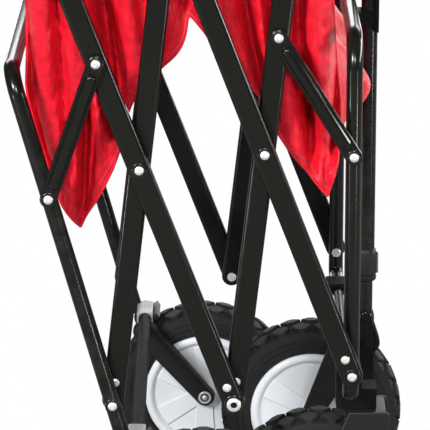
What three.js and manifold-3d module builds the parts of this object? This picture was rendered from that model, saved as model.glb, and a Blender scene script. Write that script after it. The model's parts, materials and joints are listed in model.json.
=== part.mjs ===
// A folding wagon with a pull handle, half folded: two scissor sides between a front frame and a rear frame,
// a hanging fabric bag, two fixed rear wheels, two swivelling front wheels and a telescopic handle.
// Millimetres. X forward (the handle end), Y to the left, Z up, ground at Z = 0.
import * as THREE from 'three';
import { mergeVertices } from 'three/addons/utils/BufferGeometryUtils.js';
import Module from 'manifold-3d';

// ---- driving dimensions -------------------------------------------------------------------------
// Scissor linkage, pivot to pivot.
const TUBE_LOWER = 229; // end pivot to crossing
const TUBE_UPPER = 242.7; // crossing to centre pivot
const LINK_ARM = 108; // crossing to link pivot
const POST_TO_LINK = 209; // end pivot to link pivot, along a post
const FREE_END = 199; // crossing to the free end of the two tubes that carry the links
// The pose the wagon rests in.
const FOLD = 13.8; // scissor tube angle from the linkage's own upright
const PITCH = 7.2; // lean of the linkage's own upright, back from vertical; the front posts stand upright
const POST_SPLAY = 8.6; // lean of the rear posts beyond that; the end links are made to fit
const REAR_PIVOT_X = -95.7;
const PIVOT_RISE = 125.7; // axles to the rear end pivots

// Sections.
const TUBE_WIDTH = 20.6;
const TUBE_THICK = 12;
const TUBE_EDGE = 3.4; // edge rounding of the flat-oval tubes
const POST_DIAMETER = 15;
const LINK_WIDTH = 13;
const LINK_THICK = 8;
const LINK_EYE = 3.2; // thickness of a link's flattened end
const OUTER_PLANE = 210; // |Y| of the outer scissor tubes' middle
const INNER_PLANE = 196;
const RUN = 0.3; // running clearance between pieces that turn or bear on each other

// Rear frame, along and across its posts from the end pivot.
const REAR_POST_Y = 210.2;
const POST_TOP = 331;
const POST_BEND = 25;
const POST_FOOT = 45;
const REAR_BAR = [13, -39]; // lower crossbar, across and along the post
const BAR_DIAMETER = 13;
// Front frame.
const FRONT_POST_Y = INNER_PLANE;
const FRONT_RISE = 318.0; // end pivots to the top crossbar
const BAR_DROP = 26.0; // end pivots to the lower crossbar
const FRONT_BEND_TOP = 30;
const FRONT_BEND_LOW = 22;

// Wheels.
const WHEEL_RADIUS = 94.1;
const TYRE_WIDTH = 42;
const LUGS = 18; // tread blocks in each row
const LUG_HEIGHT = 3.5;
const RING_SIDES = 2 * LUGS; // facets round a tyre
const RIM_RADIUS = 64;
const HUB_RADIUS = 61;
const HUB_BORE = 4.4;
const AXLE_RADIUS = 4;
const REAR_TRACK = 396;
const FRONT_TRACK = 278;
const REAR_REACH = 61.7; // rear axle ahead of the lower crossbar
const SWIVEL_REACH = 15.4; // swivel axis ahead of the front posts
const TRAIL = 42.3; // front axle behind the swivel axis
const FORK_HALF = 22.5; // wheel middle to the inside of a fork leg
const LEG_THICK = 3.5;
const WHEEL_AIR = 4; // tyre to fork web
const REAR_LEG_WIDE = 26; // at the crown
const LEG_FOOT_WIDE = 21; // at the axle
const CROWN_RISE = 100.5; // axles to the top of the caster forks
const FORK_CROWN = [-16, 21]; // back and front of a caster fork's top, from the swivel axis
const STEM_PIN = 5;
const STEM_PIN_LENGTH = 14;

// Handle.
const HANDLE_REACH = 22.4; // handle axis ahead of the front posts
const PIVOT_AHEAD = 2.5; // handle's pivot ahead of its axis
// Heights over the front lower crossbar.
const HANDLE_PIVOT_OVER = -9.5;
const EYE_RADIUS = 12;
const EYE_HALF = 7.4;
const STEM_RADIUS = 6.6;
const SLEEVE_RADIUS = 8;
const SLEEVE_WALL = 1.1;
const STEM_OVER = 363;
const SLEEVE_OVER = [58, 423]; // foot and top
const COLLAR_OVER = [55, 88];
const BRACKET_OVER = [-64, 13];
const COLLAR_HALF = 10;
const CHEEK_THICK = 3;
const KEEPER_OVER = [-37, 11]; // foot and top over the top crossbar
const KEEPER_AHEAD = 9; // handle axis to the keeper's front
const GRIP_HEIGHT = 92;
const GRIP_WIDTH = 118;
const GRIP_THICK = 18;
const PIN_RADIUS = 3;

// Bag.
const BAG_AIR = 7; // inside of the inner tubes to the cloth
const CLOTH = 6; // thickness of a gathered side
const WALL_CLOTH = 4;

// ---- colours ------------------------------------------------------------------------------------
const POWDER_BLACK = 0x262623;
const PLASTIC_BLACK = 0x1c1c1c;
const RUBBER_BLACK = 0x29292b;
const HUB_WHITE = 0xe4e6e8;
const RIVET_STEEL = 0xd2d2d2;
const CLOTH_RED = 0xe8152f;

// ---- small maths --------------------------------------------------------------------------------
const radians = (d) => (d * Math.PI) / 180;
const plus = (p, q) => [p[0] + q[0], p[1] + q[1]];
const minus2 = (p, q) => [p[0] - q[0], p[1] - q[1]];
const along = (angle, length) => [Math.cos(radians(angle)) * length, Math.sin(radians(angle)) * length];
const between = (p, q, t) => [p[0] + (q[0] - p[0]) * t, p[1] + (q[1] - p[1]) * t];
const distance = (p, q) => Math.hypot(p[0] - q[0], p[1] - q[1]);

// ---- linkage points at rest ---------------------------------------------------------------------
const BACK_LEAN = 90 + PITCH + FOLD; // direction of tubes 1 and 3
const FORE_LEAN = 90 + PITCH - FOLD; // direction of tubes 2 and 4
const REAR_LEAN = 90 + PITCH + POST_SPLAY;
const rearPivot = [REAR_PIVOT_X, WHEEL_RADIUS + PIVOT_RISE];
const rearCross = plus(rearPivot, along(FORE_LEAN, TUBE_LOWER));
const topPivot = plus(rearCross, along(FORE_LEAN, TUBE_UPPER));
const lowPivot = plus(rearCross, along(BACK_LEAN, -TUBE_UPPER));
const frontCross = plus(lowPivot, along(FORE_LEAN, TUBE_UPPER));
const frontPivot = plus(frontCross, along(BACK_LEAN, -TUBE_LOWER));
const rearArm = plus(rearCross, along(BACK_LEAN, LINK_ARM));
const frontArm = plus(frontCross, along(FORE_LEAN, LINK_ARM));
const rearLinkFoot = plus(rearPivot, along(REAR_LEAN, POST_TO_LINK));
const frontLinkFoot = plus(frontPivot, [0, POST_TO_LINK]);
const onRearPost = (across, up) => plus(rearPivot, plus(along(REAR_LEAN - 90, across), along(REAR_LEAN, up)));
const rearBar = onRearPost(REAR_BAR[0], REAR_BAR[1]);
const rearAxle = [rearBar[0] + REAR_REACH, WHEEL_RADIUS];
const frontX = frontPivot[0];
const swivelX = frontX + SWIVEL_REACH;
const frontAxle = [swivelX - TRAIL, WHEEL_RADIUS];
const handleX = frontX + HANDLE_REACH;
const frontBarZ = frontPivot[1] - BAR_DROP;
const frontTopZ = frontPivot[1] + FRONT_RISE;
const forkCrownZ = WHEEL_RADIUS + CROWN_RISE;
const overBar = (z) => frontBarZ + z;
const handlePivot = [handleX + PIVOT_AHEAD, overBar(HANDLE_PIVOT_OVER)];
const stemTop = overBar(STEM_OVER);
const [sleeveFoot, sleeveTop] = SLEEVE_OVER.map(overBar);
const collarEnds = COLLAR_OVER.map(overBar);
const [bracketFoot, bracketTop] = BRACKET_OVER.map(overBar);
const keeperEnds = KEEPER_OVER.map((z) => frontTopZ + z);
const rearTop = onRearPost(0, POST_TOP);

// The wagon's middle, so that the origin is under it.
const BACKMOST = rearTop[0] - POST_DIAMETER / 2;
const FOREMOST = frontAxle[0] + WHEEL_RADIUS;
const CENTRE_X = (BACKMOST + FOREMOST) / 2;

// ---- solids -------------------------------------------------------------------------------------
const wasm = await Module();
wasm.setup();

function solid(geometry) {
  const plain = geometry.index ? geometry.toNonIndexed() : geometry.clone();
  plain.deleteAttribute('normal');
  plain.deleteAttribute('uv');
  const merged = mergeVertices(plain, 1e-4);
  const corners = merged.index.array;
  const kept = [];
  for (let i = 0; i < corners.length; i += 3) {
    const [a, b, c] = [corners[i], corners[i + 1], corners[i + 2]];
    if (a !== b && b !== c && c !== a) kept.push(a, b, c);
  }
  const make = (list) => new wasm.Manifold(new wasm.Mesh({
    numProp: 3,
    vertProperties: new Float32Array(merged.attributes.position.array),
    triVerts: new Uint32Array(list),
  }));
  const made = make(kept);
  if (made.volume() > 0) return made;
  const turned = [];
  for (let i = 0; i < kept.length; i += 3) turned.push(kept[i], kept[i + 2], kept[i + 1]);
  return make(turned);
}

const join = (list) => list.reduce((whole, next) => whole.add(next));

function box(x, y, z) {
  const made = new THREE.BoxGeometry(x[1] - x[0], y[1] - y[0], z[1] - z[0]);
  made.translate((x[0] + x[1]) / 2, (y[0] + y[1]) / 2, (z[0] + z[1]) / 2);
  return solid(made);
}

// A plate whose outline lies in X and Z, spanning y[0] to y[1]; edge rounds its rim.
function plate(shape, y, edge = 0, rings = 2) {
  const depth = y[1] - y[0];
  const made = new THREE.ExtrudeGeometry(shape, {
    depth: depth - 2 * edge,
    bevelEnabled: edge > 0,
    bevelThickness: edge,
    bevelSize: edge,
    bevelOffset: -edge,
    bevelSegments: rings,
    curveSegments: 5,
  });
  made.rotateX(Math.PI / 2);
  made.translate(0, y[1] - edge, 0);
  return solid(made);
}

// A round bar or drum on an axis parallel to Y.
function drum(centre, radius, y, sides = 16) {
  const made = new THREE.CylinderGeometry(radius, radius, y[1] - y[0], sides);
  made.translate(centre[0], (y[0] + y[1]) / 2, centre[1]);
  return solid(made);
}

function upright(x, y, radius, z, sides = 20) {
  const made = new THREE.CylinderGeometry(radius, radius, z[1] - z[0], sides);
  made.rotateX(Math.PI / 2);
  made.translate(x, y, (z[0] + z[1]) / 2);
  return solid(made);
}

// A turned piece on an axis parallel to Y through centre; profile lists radius and Y.
function turned(centre, profile, sides) {
  const made = new THREE.LatheGeometry(profile.map(([r, y]) => new THREE.Vector2(r, y)), sides);
  made.translate(centre[0], 0, centre[1]);
  return solid(made);
}

// The outline of a straight strap with round ends, its end radii about p and q.
function strap(p, q, rp, rq = rp) {
  const shape = new THREE.Shape();
  const heading = Math.atan2(q[1] - p[1], q[0] - p[0]);
  const taper = Math.asin((rp - rq) / distance(p, q));
  const side = Math.PI / 2 - taper;
  shape.absarc(q[0], q[1], rq, heading - side, heading + side, false);
  shape.absarc(p[0], p[1], rp, heading + side, heading - side + 2 * Math.PI, false);
  shape.closePath();
  return shape;
}

function outline(points) {
  return new THREE.Shape(points.map(([x, z]) => new THREE.Vector2(x, z)));
}

// A path with rings only where they are wanted: at corners of straights and through bends.
class RingPath extends THREE.Curve {
  constructor(points) {
    super();
    this.rings = points;
  }
  getPoint(t) {
    return this.rings[Math.round(t * (this.rings.length - 1))].clone();
  }
  getPointAt(u) {
    return this.getPoint(u);
  }
  getSpacedPoints() {
    return this.rings.map((p) => p.clone());
  }
  getTangentAt(u) {
    const last = this.rings.length - 1;
    const i = Math.round(u * last);
    const before = this.rings[Math.max(0, i - 1)];
    const after = this.rings[Math.min(last, i + 1)];
    const into = this.rings[i].clone().sub(before).normalize();
    const out = after.clone().sub(this.rings[i]).normalize();
    return into.add(out).normalize();
  }
}

// Bends every inner corner of a polyline to a radius.
function bent(points, radius, perBend = 5) {
  const path = [points[0]];
  for (let i = 1; i < points.length - 1; i += 1) {
    const corner = points[i];
    const back = points[i - 1].clone().sub(corner).normalize();
    const fore = points[i + 1].clone().sub(corner).normalize();
    const half = back.angleTo(fore) / 2;
    const reach = radius[i - 1] / Math.tan(half);
    const middle = corner.clone().add(
      back.clone().add(fore).normalize().multiplyScalar(radius[i - 1] / Math.sin(half)),
    );
    const from = corner.clone().addScaledVector(back, reach).sub(middle);
    const to = corner.clone().addScaledVector(fore, reach).sub(middle);
    const turn = from.angleTo(to);
    for (let k = 0; k <= perBend; k += 1) {
      const t = k / perBend;
      const spoke = from.clone().multiplyScalar(Math.sin((1 - t) * turn) / Math.sin(turn));
      spoke.addScaledVector(to, Math.sin(t * turn) / Math.sin(turn));
      path.push(middle.clone().add(spoke));
    }
  }
  path.push(points[points.length - 1]);
  return path;
}

function roundTube(path, radius, sides = 10) {
  const section = new THREE.Shape();
  for (let i = 0; i < sides; i += 1) {
    const a = (2 * Math.PI * i) / sides;
    const p = [radius * Math.cos(a), radius * Math.sin(a)];
    if (i === 0) section.moveTo(...p);
    else section.lineTo(...p);
  }
  section.closePath();
  return solid(new THREE.ExtrudeGeometry(section, {
    steps: path.length - 1,
    extrudePath: new RingPath(path),
    bevelEnabled: false,
  }));
}

// ---- nodes --------------------------------------------------------------------------------------
const wagon = new THREE.Group();
wagon.name = 'folding_wagon';

function node(name, made, color, roughness, metalness = 0) {
  const mesh = made.getMesh();
  const geometry = new THREE.BufferGeometry();
  geometry.setAttribute('position', new THREE.BufferAttribute(new Float32Array(mesh.vertProperties), 3));
  geometry.setIndex(new THREE.BufferAttribute(new Uint32Array(mesh.triVerts), 1));
  geometry.translate(-CENTRE_X, 0, 0);
  geometry.computeVertexNormals();
  const item = new THREE.Mesh(geometry, new THREE.MeshStandardMaterial({ color, roughness, metalness }));
  item.name = name;
  wagon.add(item);
}

const powder = (name, made) => node(name, made, POWDER_BLACK, 0.42, 0.4);
const plastic = (name, made) => node(name, made, PLASTIC_BLACK, 0.5);
const steel = (name, made) => node(name, made, RIVET_STEEL, 0.28, 0.9);
const cloth = (name, made) => node(name, made, CLOTH_RED, 0.55);
const SIDES = [['left', 1], ['right', -1]];
// The span of a flat piece whose middle is mid from the wagon's middle plane, on one side.
const span = (side, mid, thick) => [side * mid - thick / 2, side * mid + thick / 2];

// ---- scissor tubes ------------------------------------------------------------------------------
const PIN_SIDES = 9;
const SHANK = 3;
const BORE = SHANK + RUN;
const SECOND_RIVET = 18; // end pivot to the rivet that holds the tube's end plug
const tubes = {
  tube_1: { foot: lowPivot, top: plus(rearCross, along(BACK_LEAN, FREE_END)), plane: OUTER_PLANE },
  tube_2: { foot: rearPivot, top: topPivot, plane: INNER_PLANE },
  tube_3: { foot: frontPivot, top: topPivot, plane: OUTER_PLANE },
  tube_4: { foot: lowPivot, top: plus(frontCross, along(FORE_LEAN, FREE_END)), plane: INNER_PLANE },
};
const holes = {
  tube_1: [lowPivot, rearCross],
  tube_2: [rearPivot, rearCross, topPivot],
  tube_3: [frontPivot, frontCross, topPivot],
  tube_4: [lowPivot, frontCross],
};
const secondRivet = (name) => between(
  tubes[name].foot,
  tubes[name].top,
  SECOND_RIVET / distance(tubes[name].foot, tubes[name].top),
);

// A rivet with a domed outer head, a shank and a flat inner head; a collar keeps two tubes apart.
const HEAD_RADIUS = 4.7;
const HEAD_HEIGHT = 2.2;
const TAIL_HEIGHT = 1.8;
function rivet(centre, side, from, to, gap = null, seat = RUN) {
  const profile = [
    [0, from - seat - TAIL_HEIGHT],
    [HEAD_RADIUS, from - seat - TAIL_HEIGHT],
    [HEAD_RADIUS, from - seat],
    [SHANK, from - seat],
  ];
  if (gap) {
    profile.push([SHANK, gap[0]], [COLLAR_RADIUS, gap[0]], [COLLAR_RADIUS, gap[1]], [SHANK, gap[1]]);
  }
  profile.push(
    [SHANK, to + seat],
    [HEAD_RADIUS, to + seat],
    [HEAD_RADIUS * 0.8, to + seat + HEAD_HEIGHT * 0.7],
    [0, to + seat + HEAD_HEIGHT],
  );
  return turned(centre, profile.map(([r, y]) => [r, side * y]), PIN_SIDES);
}
const COLLAR_RADIUS = HEAD_RADIUS + 2;
const LOW_HEAD = 1.4; // head of a rivet that another tube passes over
// The head of a rivet or pin that is set fast in the piece it stands on.
function dome(centre, side, face, height) {
  return turned(centre, [
    [0, face - 1],
    [HEAD_RADIUS, face - 1],
    [HEAD_RADIUS, face],
    [HEAD_RADIUS * 0.8, face + height * 0.7],
    [0, face + height],
  ].map(([r, y]) => [r, side * y]), PIN_SIDES);
}
const outerFace = OUTER_PLANE + TUBE_THICK / 2;
const outerBack = OUTER_PLANE - TUBE_THICK / 2;
const innerFace = INNER_PLANE + TUBE_THICK / 2;
const innerBack = INNER_PLANE - TUBE_THICK / 2;
const rearPostBack = REAR_POST_Y - POST_DIAMETER / 2;
const rearPostFace = REAR_POST_Y + POST_DIAMETER / 2;
const frontPostBack = FRONT_POST_Y - POST_DIAMETER / 2;
const frontPostFace = FRONT_POST_Y + POST_DIAMETER / 2;
const REAR_LINK_FROM = rearPostFace + RUN;
const FRONT_LINK_FROM = frontPostFace + RUN;

// Boss on a tube that a link's eye turns against.
const bosses = {
  tube_1: [rearArm, outerFace, REAR_LINK_FROM - RUN],
  tube_4: [frontArm, innerFace, FRONT_LINK_FROM - RUN],
};
for (const [name, tube] of Object.entries(tubes)) {
  for (const [label, side] of SIDES) {
    const y = span(side, tube.plane, TUBE_THICK);
    let made = plate(strap(tube.foot, tube.top, TUBE_WIDTH / 2), y, TUBE_EDGE);
    for (const hole of holes[name]) made = made.subtract(drum(hole, BORE, [y[0] - 1, y[1] + 1], PIN_SIDES));
    const height = tube.plane === OUTER_PLANE ? HEAD_HEIGHT : LOW_HEAD;
    made = made.add(dome(secondRivet(name), side, tube.plane + TUBE_THICK / 2, height));
    if (bosses[name]) {
      const [centre, from, to] = bosses[name];
      made = made.add(drum(centre, COLLAR_RADIUS, [side * (from - 1), side * to].sort((a, b) => a - b), 16));
    }
    powder(`${name}_${label}`, made);
  }
}

const collarGap = [innerFace + RUN, outerBack - RUN];
const pivots = {
  rear_crossing: [rearCross, innerBack, outerFace, collarGap],
  front_crossing: [frontCross, innerBack, outerFace, collarGap],
  low_centre: [lowPivot, innerBack, outerFace, collarGap],
  top_centre: [topPivot, innerBack, outerFace, collarGap],
  rear_end: [rearPivot, innerBack, rearPostFace, null],
  front_end: [frontPivot, frontPostBack, outerFace, null],
};
for (const [name, [centre, from, to, gap]] of Object.entries(pivots)) {
  for (const [label, side] of SIDES) steel(`rivet_${name}_${label}`, rivet(centre, side, from, to, gap));
}

// ---- end links ----------------------------------------------------------------------------------
// Each lies outside its post and its tube: flat eyes, a ribbed middle and the heads of its two pins.
const LINK_NECK = 15; // eye centre to the thick middle
function link(foot, arm, side, from, postBack) {
  const reach = (to) => [side * from, side * to].sort((a, b) => a - b);
  const face = from + LINK_EYE;
  const length = distance(foot, arm);
  const rib = strap(
    between(foot, arm, LINK_NECK / length),
    between(foot, arm, 1 - LINK_NECK / length),
    LINK_WIDTH / 2,
  );
  return join([
    plate(strap(foot, arm, LINK_WIDTH / 2 + 1.5), reach(face)),
    plate(rib, reach(from + LINK_THICK), 2.4, 1),
    rivet(foot, side, postBack, face, null, -0.1),
    dome(arm, side, face, HEAD_HEIGHT),
  ]);
}
for (const [label, side] of SIDES) {
  powder(`rear_link_${label}`, link(rearLinkFoot, rearArm, side, REAR_LINK_FROM, rearPostBack - RUN));
  powder(`front_link_${label}`, link(frontLinkFoot, frontArm, side, FRONT_LINK_FROM, frontPostBack - RUN));
}

// ---- rear frame ---------------------------------------------------------------------------------
const place = (p, y) => new THREE.Vector3(p[0], y, p[1]);
const rearFoot = onRearPost(0, -POST_FOOT);
const rearArch = bent([
  place(rearFoot, REAR_POST_Y),
  place(rearTop, REAR_POST_Y),
  place(rearTop, -REAR_POST_Y),
  place(rearFoot, -REAR_POST_Y),
], [POST_BEND, POST_BEND]);
let rearLoop = roundTube(rearArch, POST_DIAMETER / 2);
rearLoop = rearLoop.add(drum(rearBar, BAR_DIAMETER / 2, [-REAR_POST_Y - 6, REAR_POST_Y + 6], 14));
for (const hole of [rearPivot, rearLinkFoot]) {
  rearLoop = rearLoop.subtract(drum(hole, BORE, [-REAR_POST_Y - 20, REAR_POST_Y + 20], PIN_SIDES));
}
powder('rear_frame_tube', rearLoop);

// ---- forks --------------------------------------------------------------------------------------
const legOuter = FORK_HALF + LEG_THICK;
// Two legs and the web that bridges the tyre.
function fork(track, side, leg, web) {
  const mid = (side * track) / 2;
  const pair = [-1, 1].map((s) => {
    const y = [mid + s * FORK_HALF, mid + s * legOuter].sort((a, b) => a - b);
    return plate(leg, y);
  });
  return join([...pair, web(mid)]);
}
const rearCrown = plus(rearBar, [-1, -(BAR_DIAMETER + REAR_LEG_WIDE + 1) / 2]);
const toBar = Math.atan2(rearBar[1] - rearAxle[1], rearBar[0] - rearAxle[0]);
const webIn = WHEEL_RADIUS + WHEEL_AIR;
const webOut = distance(rearBar, rearAxle) - BAR_DIAMETER / 2 - RUN;
function rearWeb(mid) {
  const made = new THREE.BoxGeometry(REAR_LEG_WIDE, 2 * FORK_HALF + 1, webOut - webIn);
  made.translate(0, 0, (webOut + webIn) / 2);
  made.rotateY(Math.PI / 2 - toBar);
  made.translate(rearAxle[0], mid, rearAxle[1]);
  return solid(made);
}
const rearLeg = strap(rearCrown, rearAxle, REAR_LEG_WIDE / 2, LEG_FOOT_WIDE / 2);
const crownBack = swivelX + FORK_CROWN[0];
const crownFront = swivelX + FORK_CROWN[1];
const CROWN_DEPTH = 22; // top of a caster fork to where its front edge turns back
const legFoot = LEG_FOOT_WIDE / 2 + 0.8;
const frontLeg = new THREE.Shape();
frontLeg.moveTo(crownBack, forkCrownZ);
frontLeg.lineTo(crownFront, forkCrownZ);
frontLeg.quadraticCurveTo(
  crownFront + 5,
  forkCrownZ - CROWN_DEPTH / 2,
  crownFront,
  forkCrownZ - CROWN_DEPTH,
);
frontLeg.lineTo(frontAxle[0] + LEG_FOOT_WIDE / 2, frontAxle[1] - 4);
frontLeg.absarc(frontAxle[0], frontAxle[1], legFoot, -0.4, -Math.PI - 0.35, true);
frontLeg.closePath();
const stemPinTop = forkCrownZ + STEM_PIN_LENGTH;
function frontWeb(mid) {
  const y = [mid - FORK_HALF - 0.5, mid + FORK_HALF + 0.5];
  return box([crownBack + 0.4, crownFront - 1], y, [forkCrownZ - 4, forkCrownZ]);
}
for (const [label, side] of SIDES) {
  let rear = fork(REAR_TRACK, side, rearLeg, rearWeb);
  const rearMid = (side * REAR_TRACK) / 2;
  const across = (mid) => [mid - legOuter - 1, mid + legOuter + 1];
  rear = rear.subtract(drum(rearAxle, AXLE_RADIUS + RUN, across(rearMid), 10));
  powder(`rear_fork_${label}`, rear);

  let front = fork(FRONT_TRACK, side, frontLeg, frontWeb);
  const frontMid = (side * FRONT_TRACK) / 2;
  front = front.subtract(drum(frontAxle, AXLE_RADIUS + RUN, across(frontMid), 10));
  front = front.add(upright(swivelX, frontMid, STEM_PIN, [forkCrownZ - 2, stemPinTop]));
  plastic(`caster_fork_${label}`, front);
}
// Axle bolts: a shank through both legs and the hub, low domed heads.
const BOLT_HEAD = 1.5;
function axle(centre, mid) {
  const reach = legOuter + RUN;
  return turned(centre, [
    [0, mid - reach - BOLT_HEAD],
    [6, mid - reach - BOLT_HEAD * 0.6],
    [6.8, mid - reach],
    [AXLE_RADIUS, mid - reach],
    [AXLE_RADIUS, mid + reach],
    [6.8, mid + reach],
    [6, mid + reach + BOLT_HEAD * 0.6],
    [0, mid + reach + BOLT_HEAD],
  ], 10);
}
for (const [label, side] of SIDES) {
  steel(`rear_axle_bolt_${label}`, axle(rearAxle, (side * REAR_TRACK) / 2));
  steel(`caster_axle_bolt_${label}`, axle(frontAxle, (side * FRONT_TRACK) / 2));
}

// ---- wheels -------------------------------------------------------------------------------------
function treadBlocks(centre, y) {
  const step = (2 * Math.PI) / LUGS;
  const half = step * 0.31;
  const low = WHEEL_RADIUS - LUG_HEIGHT - 3;
  const high = WHEEL_RADIUS / Math.cos(half);
  const blocks = [];
  for (let i = 0; i < LUGS; i += 1) {
    const a = -Math.PI / 2 + i * step;
    const ring = [[low, a - half], [high, a - half], [high, a + half], [low, a + half]];
    blocks.push(plate(outline(ring.map(([r, t]) => [
      centre[0] + r * Math.cos(t),
      centre[1] + r * Math.sin(t),
    ])), y));
  }
  return join(blocks);
}
function tyre(centre, mid) {
  const half = TYRE_WIDTH / 2;
  const wall = (WHEEL_RADIUS - LUG_HEIGHT) / Math.cos(Math.PI / RING_SIDES);
  const body = turned(centre, [
    [RIM_RADIUS, mid - half + 5],
    [RIM_RADIUS + 4, mid - half + 1],
    [wall - 9, mid - half],
    [wall, mid - half + 6],
    [wall, mid + half - 6],
    [wall - 9, mid + half],
    [RIM_RADIUS + 4, mid + half - 1],
    [RIM_RADIUS, mid + half - 5],
    [RIM_RADIUS, mid - half + 5],
  ], RING_SIDES);
  return body.add(treadBlocks(centre, [mid - half + 4.5, mid + half - 4.5]));
}
const SPOKES = 6;
function hub(centre, mid) {
  const half = TYRE_WIDTH / 2;
  const rim = HUB_RADIUS + 3 - 2 * RUN;
  const face = (s) => [
    [HUB_BORE, mid + s * (half + 0.8)],
    [13, mid + s * (half + 0.8)],
    [16, mid + s * (half - 9)],
    [49, mid + s * (half - 9)],
    [53, mid + s * (half - 1)],
    [rim, mid + s * (half - 3)],
  ];
  const profile = [...face(-1), ...face(1).reverse(), face(-1)[0]];
  const dish = turned(centre, profile, 26);
  const spokes = [];
  for (let i = 0; i < SPOKES; i += 1) {
    const rib = new THREE.BoxGeometry(38, TYRE_WIDTH - 10, 15);
    rib.translate(33, 0, 0);
    rib.rotateY((2 * Math.PI * i) / SPOKES + Math.PI / SPOKES);
    rib.translate(centre[0], mid, centre[1]);
    spokes.push(solid(rib));
  }
  return join([dish, ...spokes]);
}
for (const [end, track, centre] of [['rear', REAR_TRACK, rearAxle], ['front', FRONT_TRACK, frontAxle]]) {
  for (const [label, side] of SIDES) {
    const mid = (side * track) / 2;
    node(`${end}_tyre_${label}`, tyre(centre, mid), RUBBER_BLACK, 0.8);
    node(`${end}_hub_${label}`, hub(centre, mid), HUB_WHITE, 0.45);
  }
}

// ---- front frame --------------------------------------------------------------------------------
const frontRect = (s) => bent([
  new THREE.Vector3(frontX, 0, frontBarZ),
  new THREE.Vector3(frontX, s * FRONT_POST_Y, frontBarZ),
  new THREE.Vector3(frontX, s * FRONT_POST_Y, frontTopZ),
  new THREE.Vector3(frontX, 0, frontTopZ),
], [FRONT_BEND_LOW, FRONT_BEND_TOP]);
let frontLoop = roundTube(frontRect(1), POST_DIAMETER / 2).add(roundTube(frontRect(-1), POST_DIAMETER / 2));
for (const hole of [frontPivot, frontLinkFoot]) {
  frontLoop = frontLoop.subtract(drum(hole, BORE, [-FRONT_POST_Y - 20, FRONT_POST_Y + 20], PIN_SIDES));
}
powder('front_frame_tube', frontLoop);
// Caster sockets: a plate wrapped over the crossbar and the boss that takes the swivel stem.
const SOCKET_FOOT = forkCrownZ + RUN;
const SOCKET_HALF = 14;
const SOCKET_WRAP = 12; // crossbar middle to the outside of the socket round it
for (const [label, side] of SIDES) {
  const mid = (side * FRONT_TRACK) / 2;
  const y = [mid - SOCKET_HALF, mid + SOCKET_HALF];
  const bossTop = frontBarZ - POST_DIAMETER / 2;
  let socket = box([frontX - SOCKET_WRAP, crownFront - 10], y, [SOCKET_FOOT, bossTop]);
  socket = socket.add(box([frontX - SOCKET_WRAP, frontX + SOCKET_WRAP], y, [bossTop - 1, frontBarZ + 11]));
  socket = socket.subtract(drum([frontX, frontBarZ], POST_DIAMETER / 2 + RUN, [mid - 20, mid + 20], 24));
  socket = socket.subtract(upright(swivelX, mid, STEM_PIN + RUN, [SOCKET_FOOT - 1, stemPinTop + RUN]));
  powder(`caster_socket_${label}`, socket);
}

// ---- handle -------------------------------------------------------------------------------------
const barFront = frontX + POST_DIAMETER / 2 + RUN;
const backPlate = handlePivot[0] - EYE_RADIUS - RUN;
const cheekIn = EYE_HALF + RUN;
const cheekOut = cheekIn + CHEEK_THICK;
const cheek = outline([
  [barFront, bracketFoot],
  [handlePivot[0] + 7, bracketFoot],
  [handlePivot[0] + 5, handlePivot[1] - 8],
  [handlePivot[0] + 5, bracketTop - 7],
  [handlePivot[0] - 1.5, bracketTop],
  [barFront, bracketTop],
]);
const bracket = join([
  plate(cheek, [cheekIn, cheekOut]),
  plate(cheek, [-cheekOut, -cheekIn]),
  box([barFront, backPlate], [-cheekOut, cheekOut], [bracketFoot, bracketTop]),
]);
powder('handle_bracket', bracket.subtract(drum(handlePivot, PIN_RADIUS + RUN, [-20, 20], 16)));
const PIN_HEAD = [5, 1.6]; // radius and height
const pinSeat = cheekOut + RUN;
const pinHead = (s) => [
  [PIN_RADIUS, s * pinSeat],
  [PIN_HEAD[0], s * pinSeat],
  [PIN_HEAD[0], s * (pinSeat + PIN_HEAD[1])],
  [0, s * (pinSeat + PIN_HEAD[1])],
];
steel('handle_pivot_pin', turned(handlePivot, [...pinHead(-1).reverse(), ...pinHead(1)], 16));

let stem = drum(handlePivot, EYE_RADIUS, [-EYE_HALF, EYE_HALF], 28);
stem = stem.add(upright(handleX, 0, STEM_RADIUS, [handlePivot[1] + 6, stemTop]));
stem = stem.add(upright(handleX, 0, EYE_HALF, [handlePivot[1] + 6, handlePivot[1] + 26]));
stem = stem.subtract(drum(handlePivot, PIN_RADIUS + RUN, [-20, 20], 16));
powder('handle_stem', stem);

let sleeve = upright(handleX, 0, SLEEVE_RADIUS, [sleeveFoot, sleeveTop]);
const sleeveBore = SLEEVE_RADIUS - SLEEVE_WALL;
sleeve = sleeve.subtract(upright(handleX, 0, sleeveBore, [sleeveFoot - 1, sleeveTop - 2]));
powder('handle_sleeve', sleeve);

// Collar with the pocket of the latch button on its front.
const BUTTON_HALF = 4.5;
const BUTTON = [collarEnds[0] + 7, collarEnds[1] - 5];
const BUTTON_BACK = handleX + SLEEVE_RADIUS + RUN;
const BUTTON_FRONT = handleX + 11.8;
const BUTTON_TRAVEL = 1.5;
let collar = upright(handleX, 0, COLLAR_HALF, collarEnds, 28);
collar = collar.add(box([handleX, handleX + COLLAR_HALF], [-6.5, 6.5], [collarEnds[0] + 3, collarEnds[1]]));
collar = collar.subtract(upright(handleX, 0, SLEEVE_RADIUS + RUN, [sleeveFoot - RUN, collarEnds[1] + 1]));
collar = collar.subtract(upright(handleX, 0, STEM_RADIUS + RUN, [collarEnds[0] - 1, collarEnds[1]]));
collar = collar.subtract(box(
  [handleX + 2, handleX + 20],
  [-BUTTON_HALF - RUN, BUTTON_HALF + RUN],
  [BUTTON[0] - RUN, BUTTON[1] + RUN],
));
plastic('handle_collar', collar);
node(
  'latch_button',
  box([BUTTON_BACK + BUTTON_TRAVEL, BUTTON_FRONT], [-BUTTON_HALF, BUTTON_HALF], BUTTON),
  0x4a4a4a,
  0.45,
);

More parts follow.
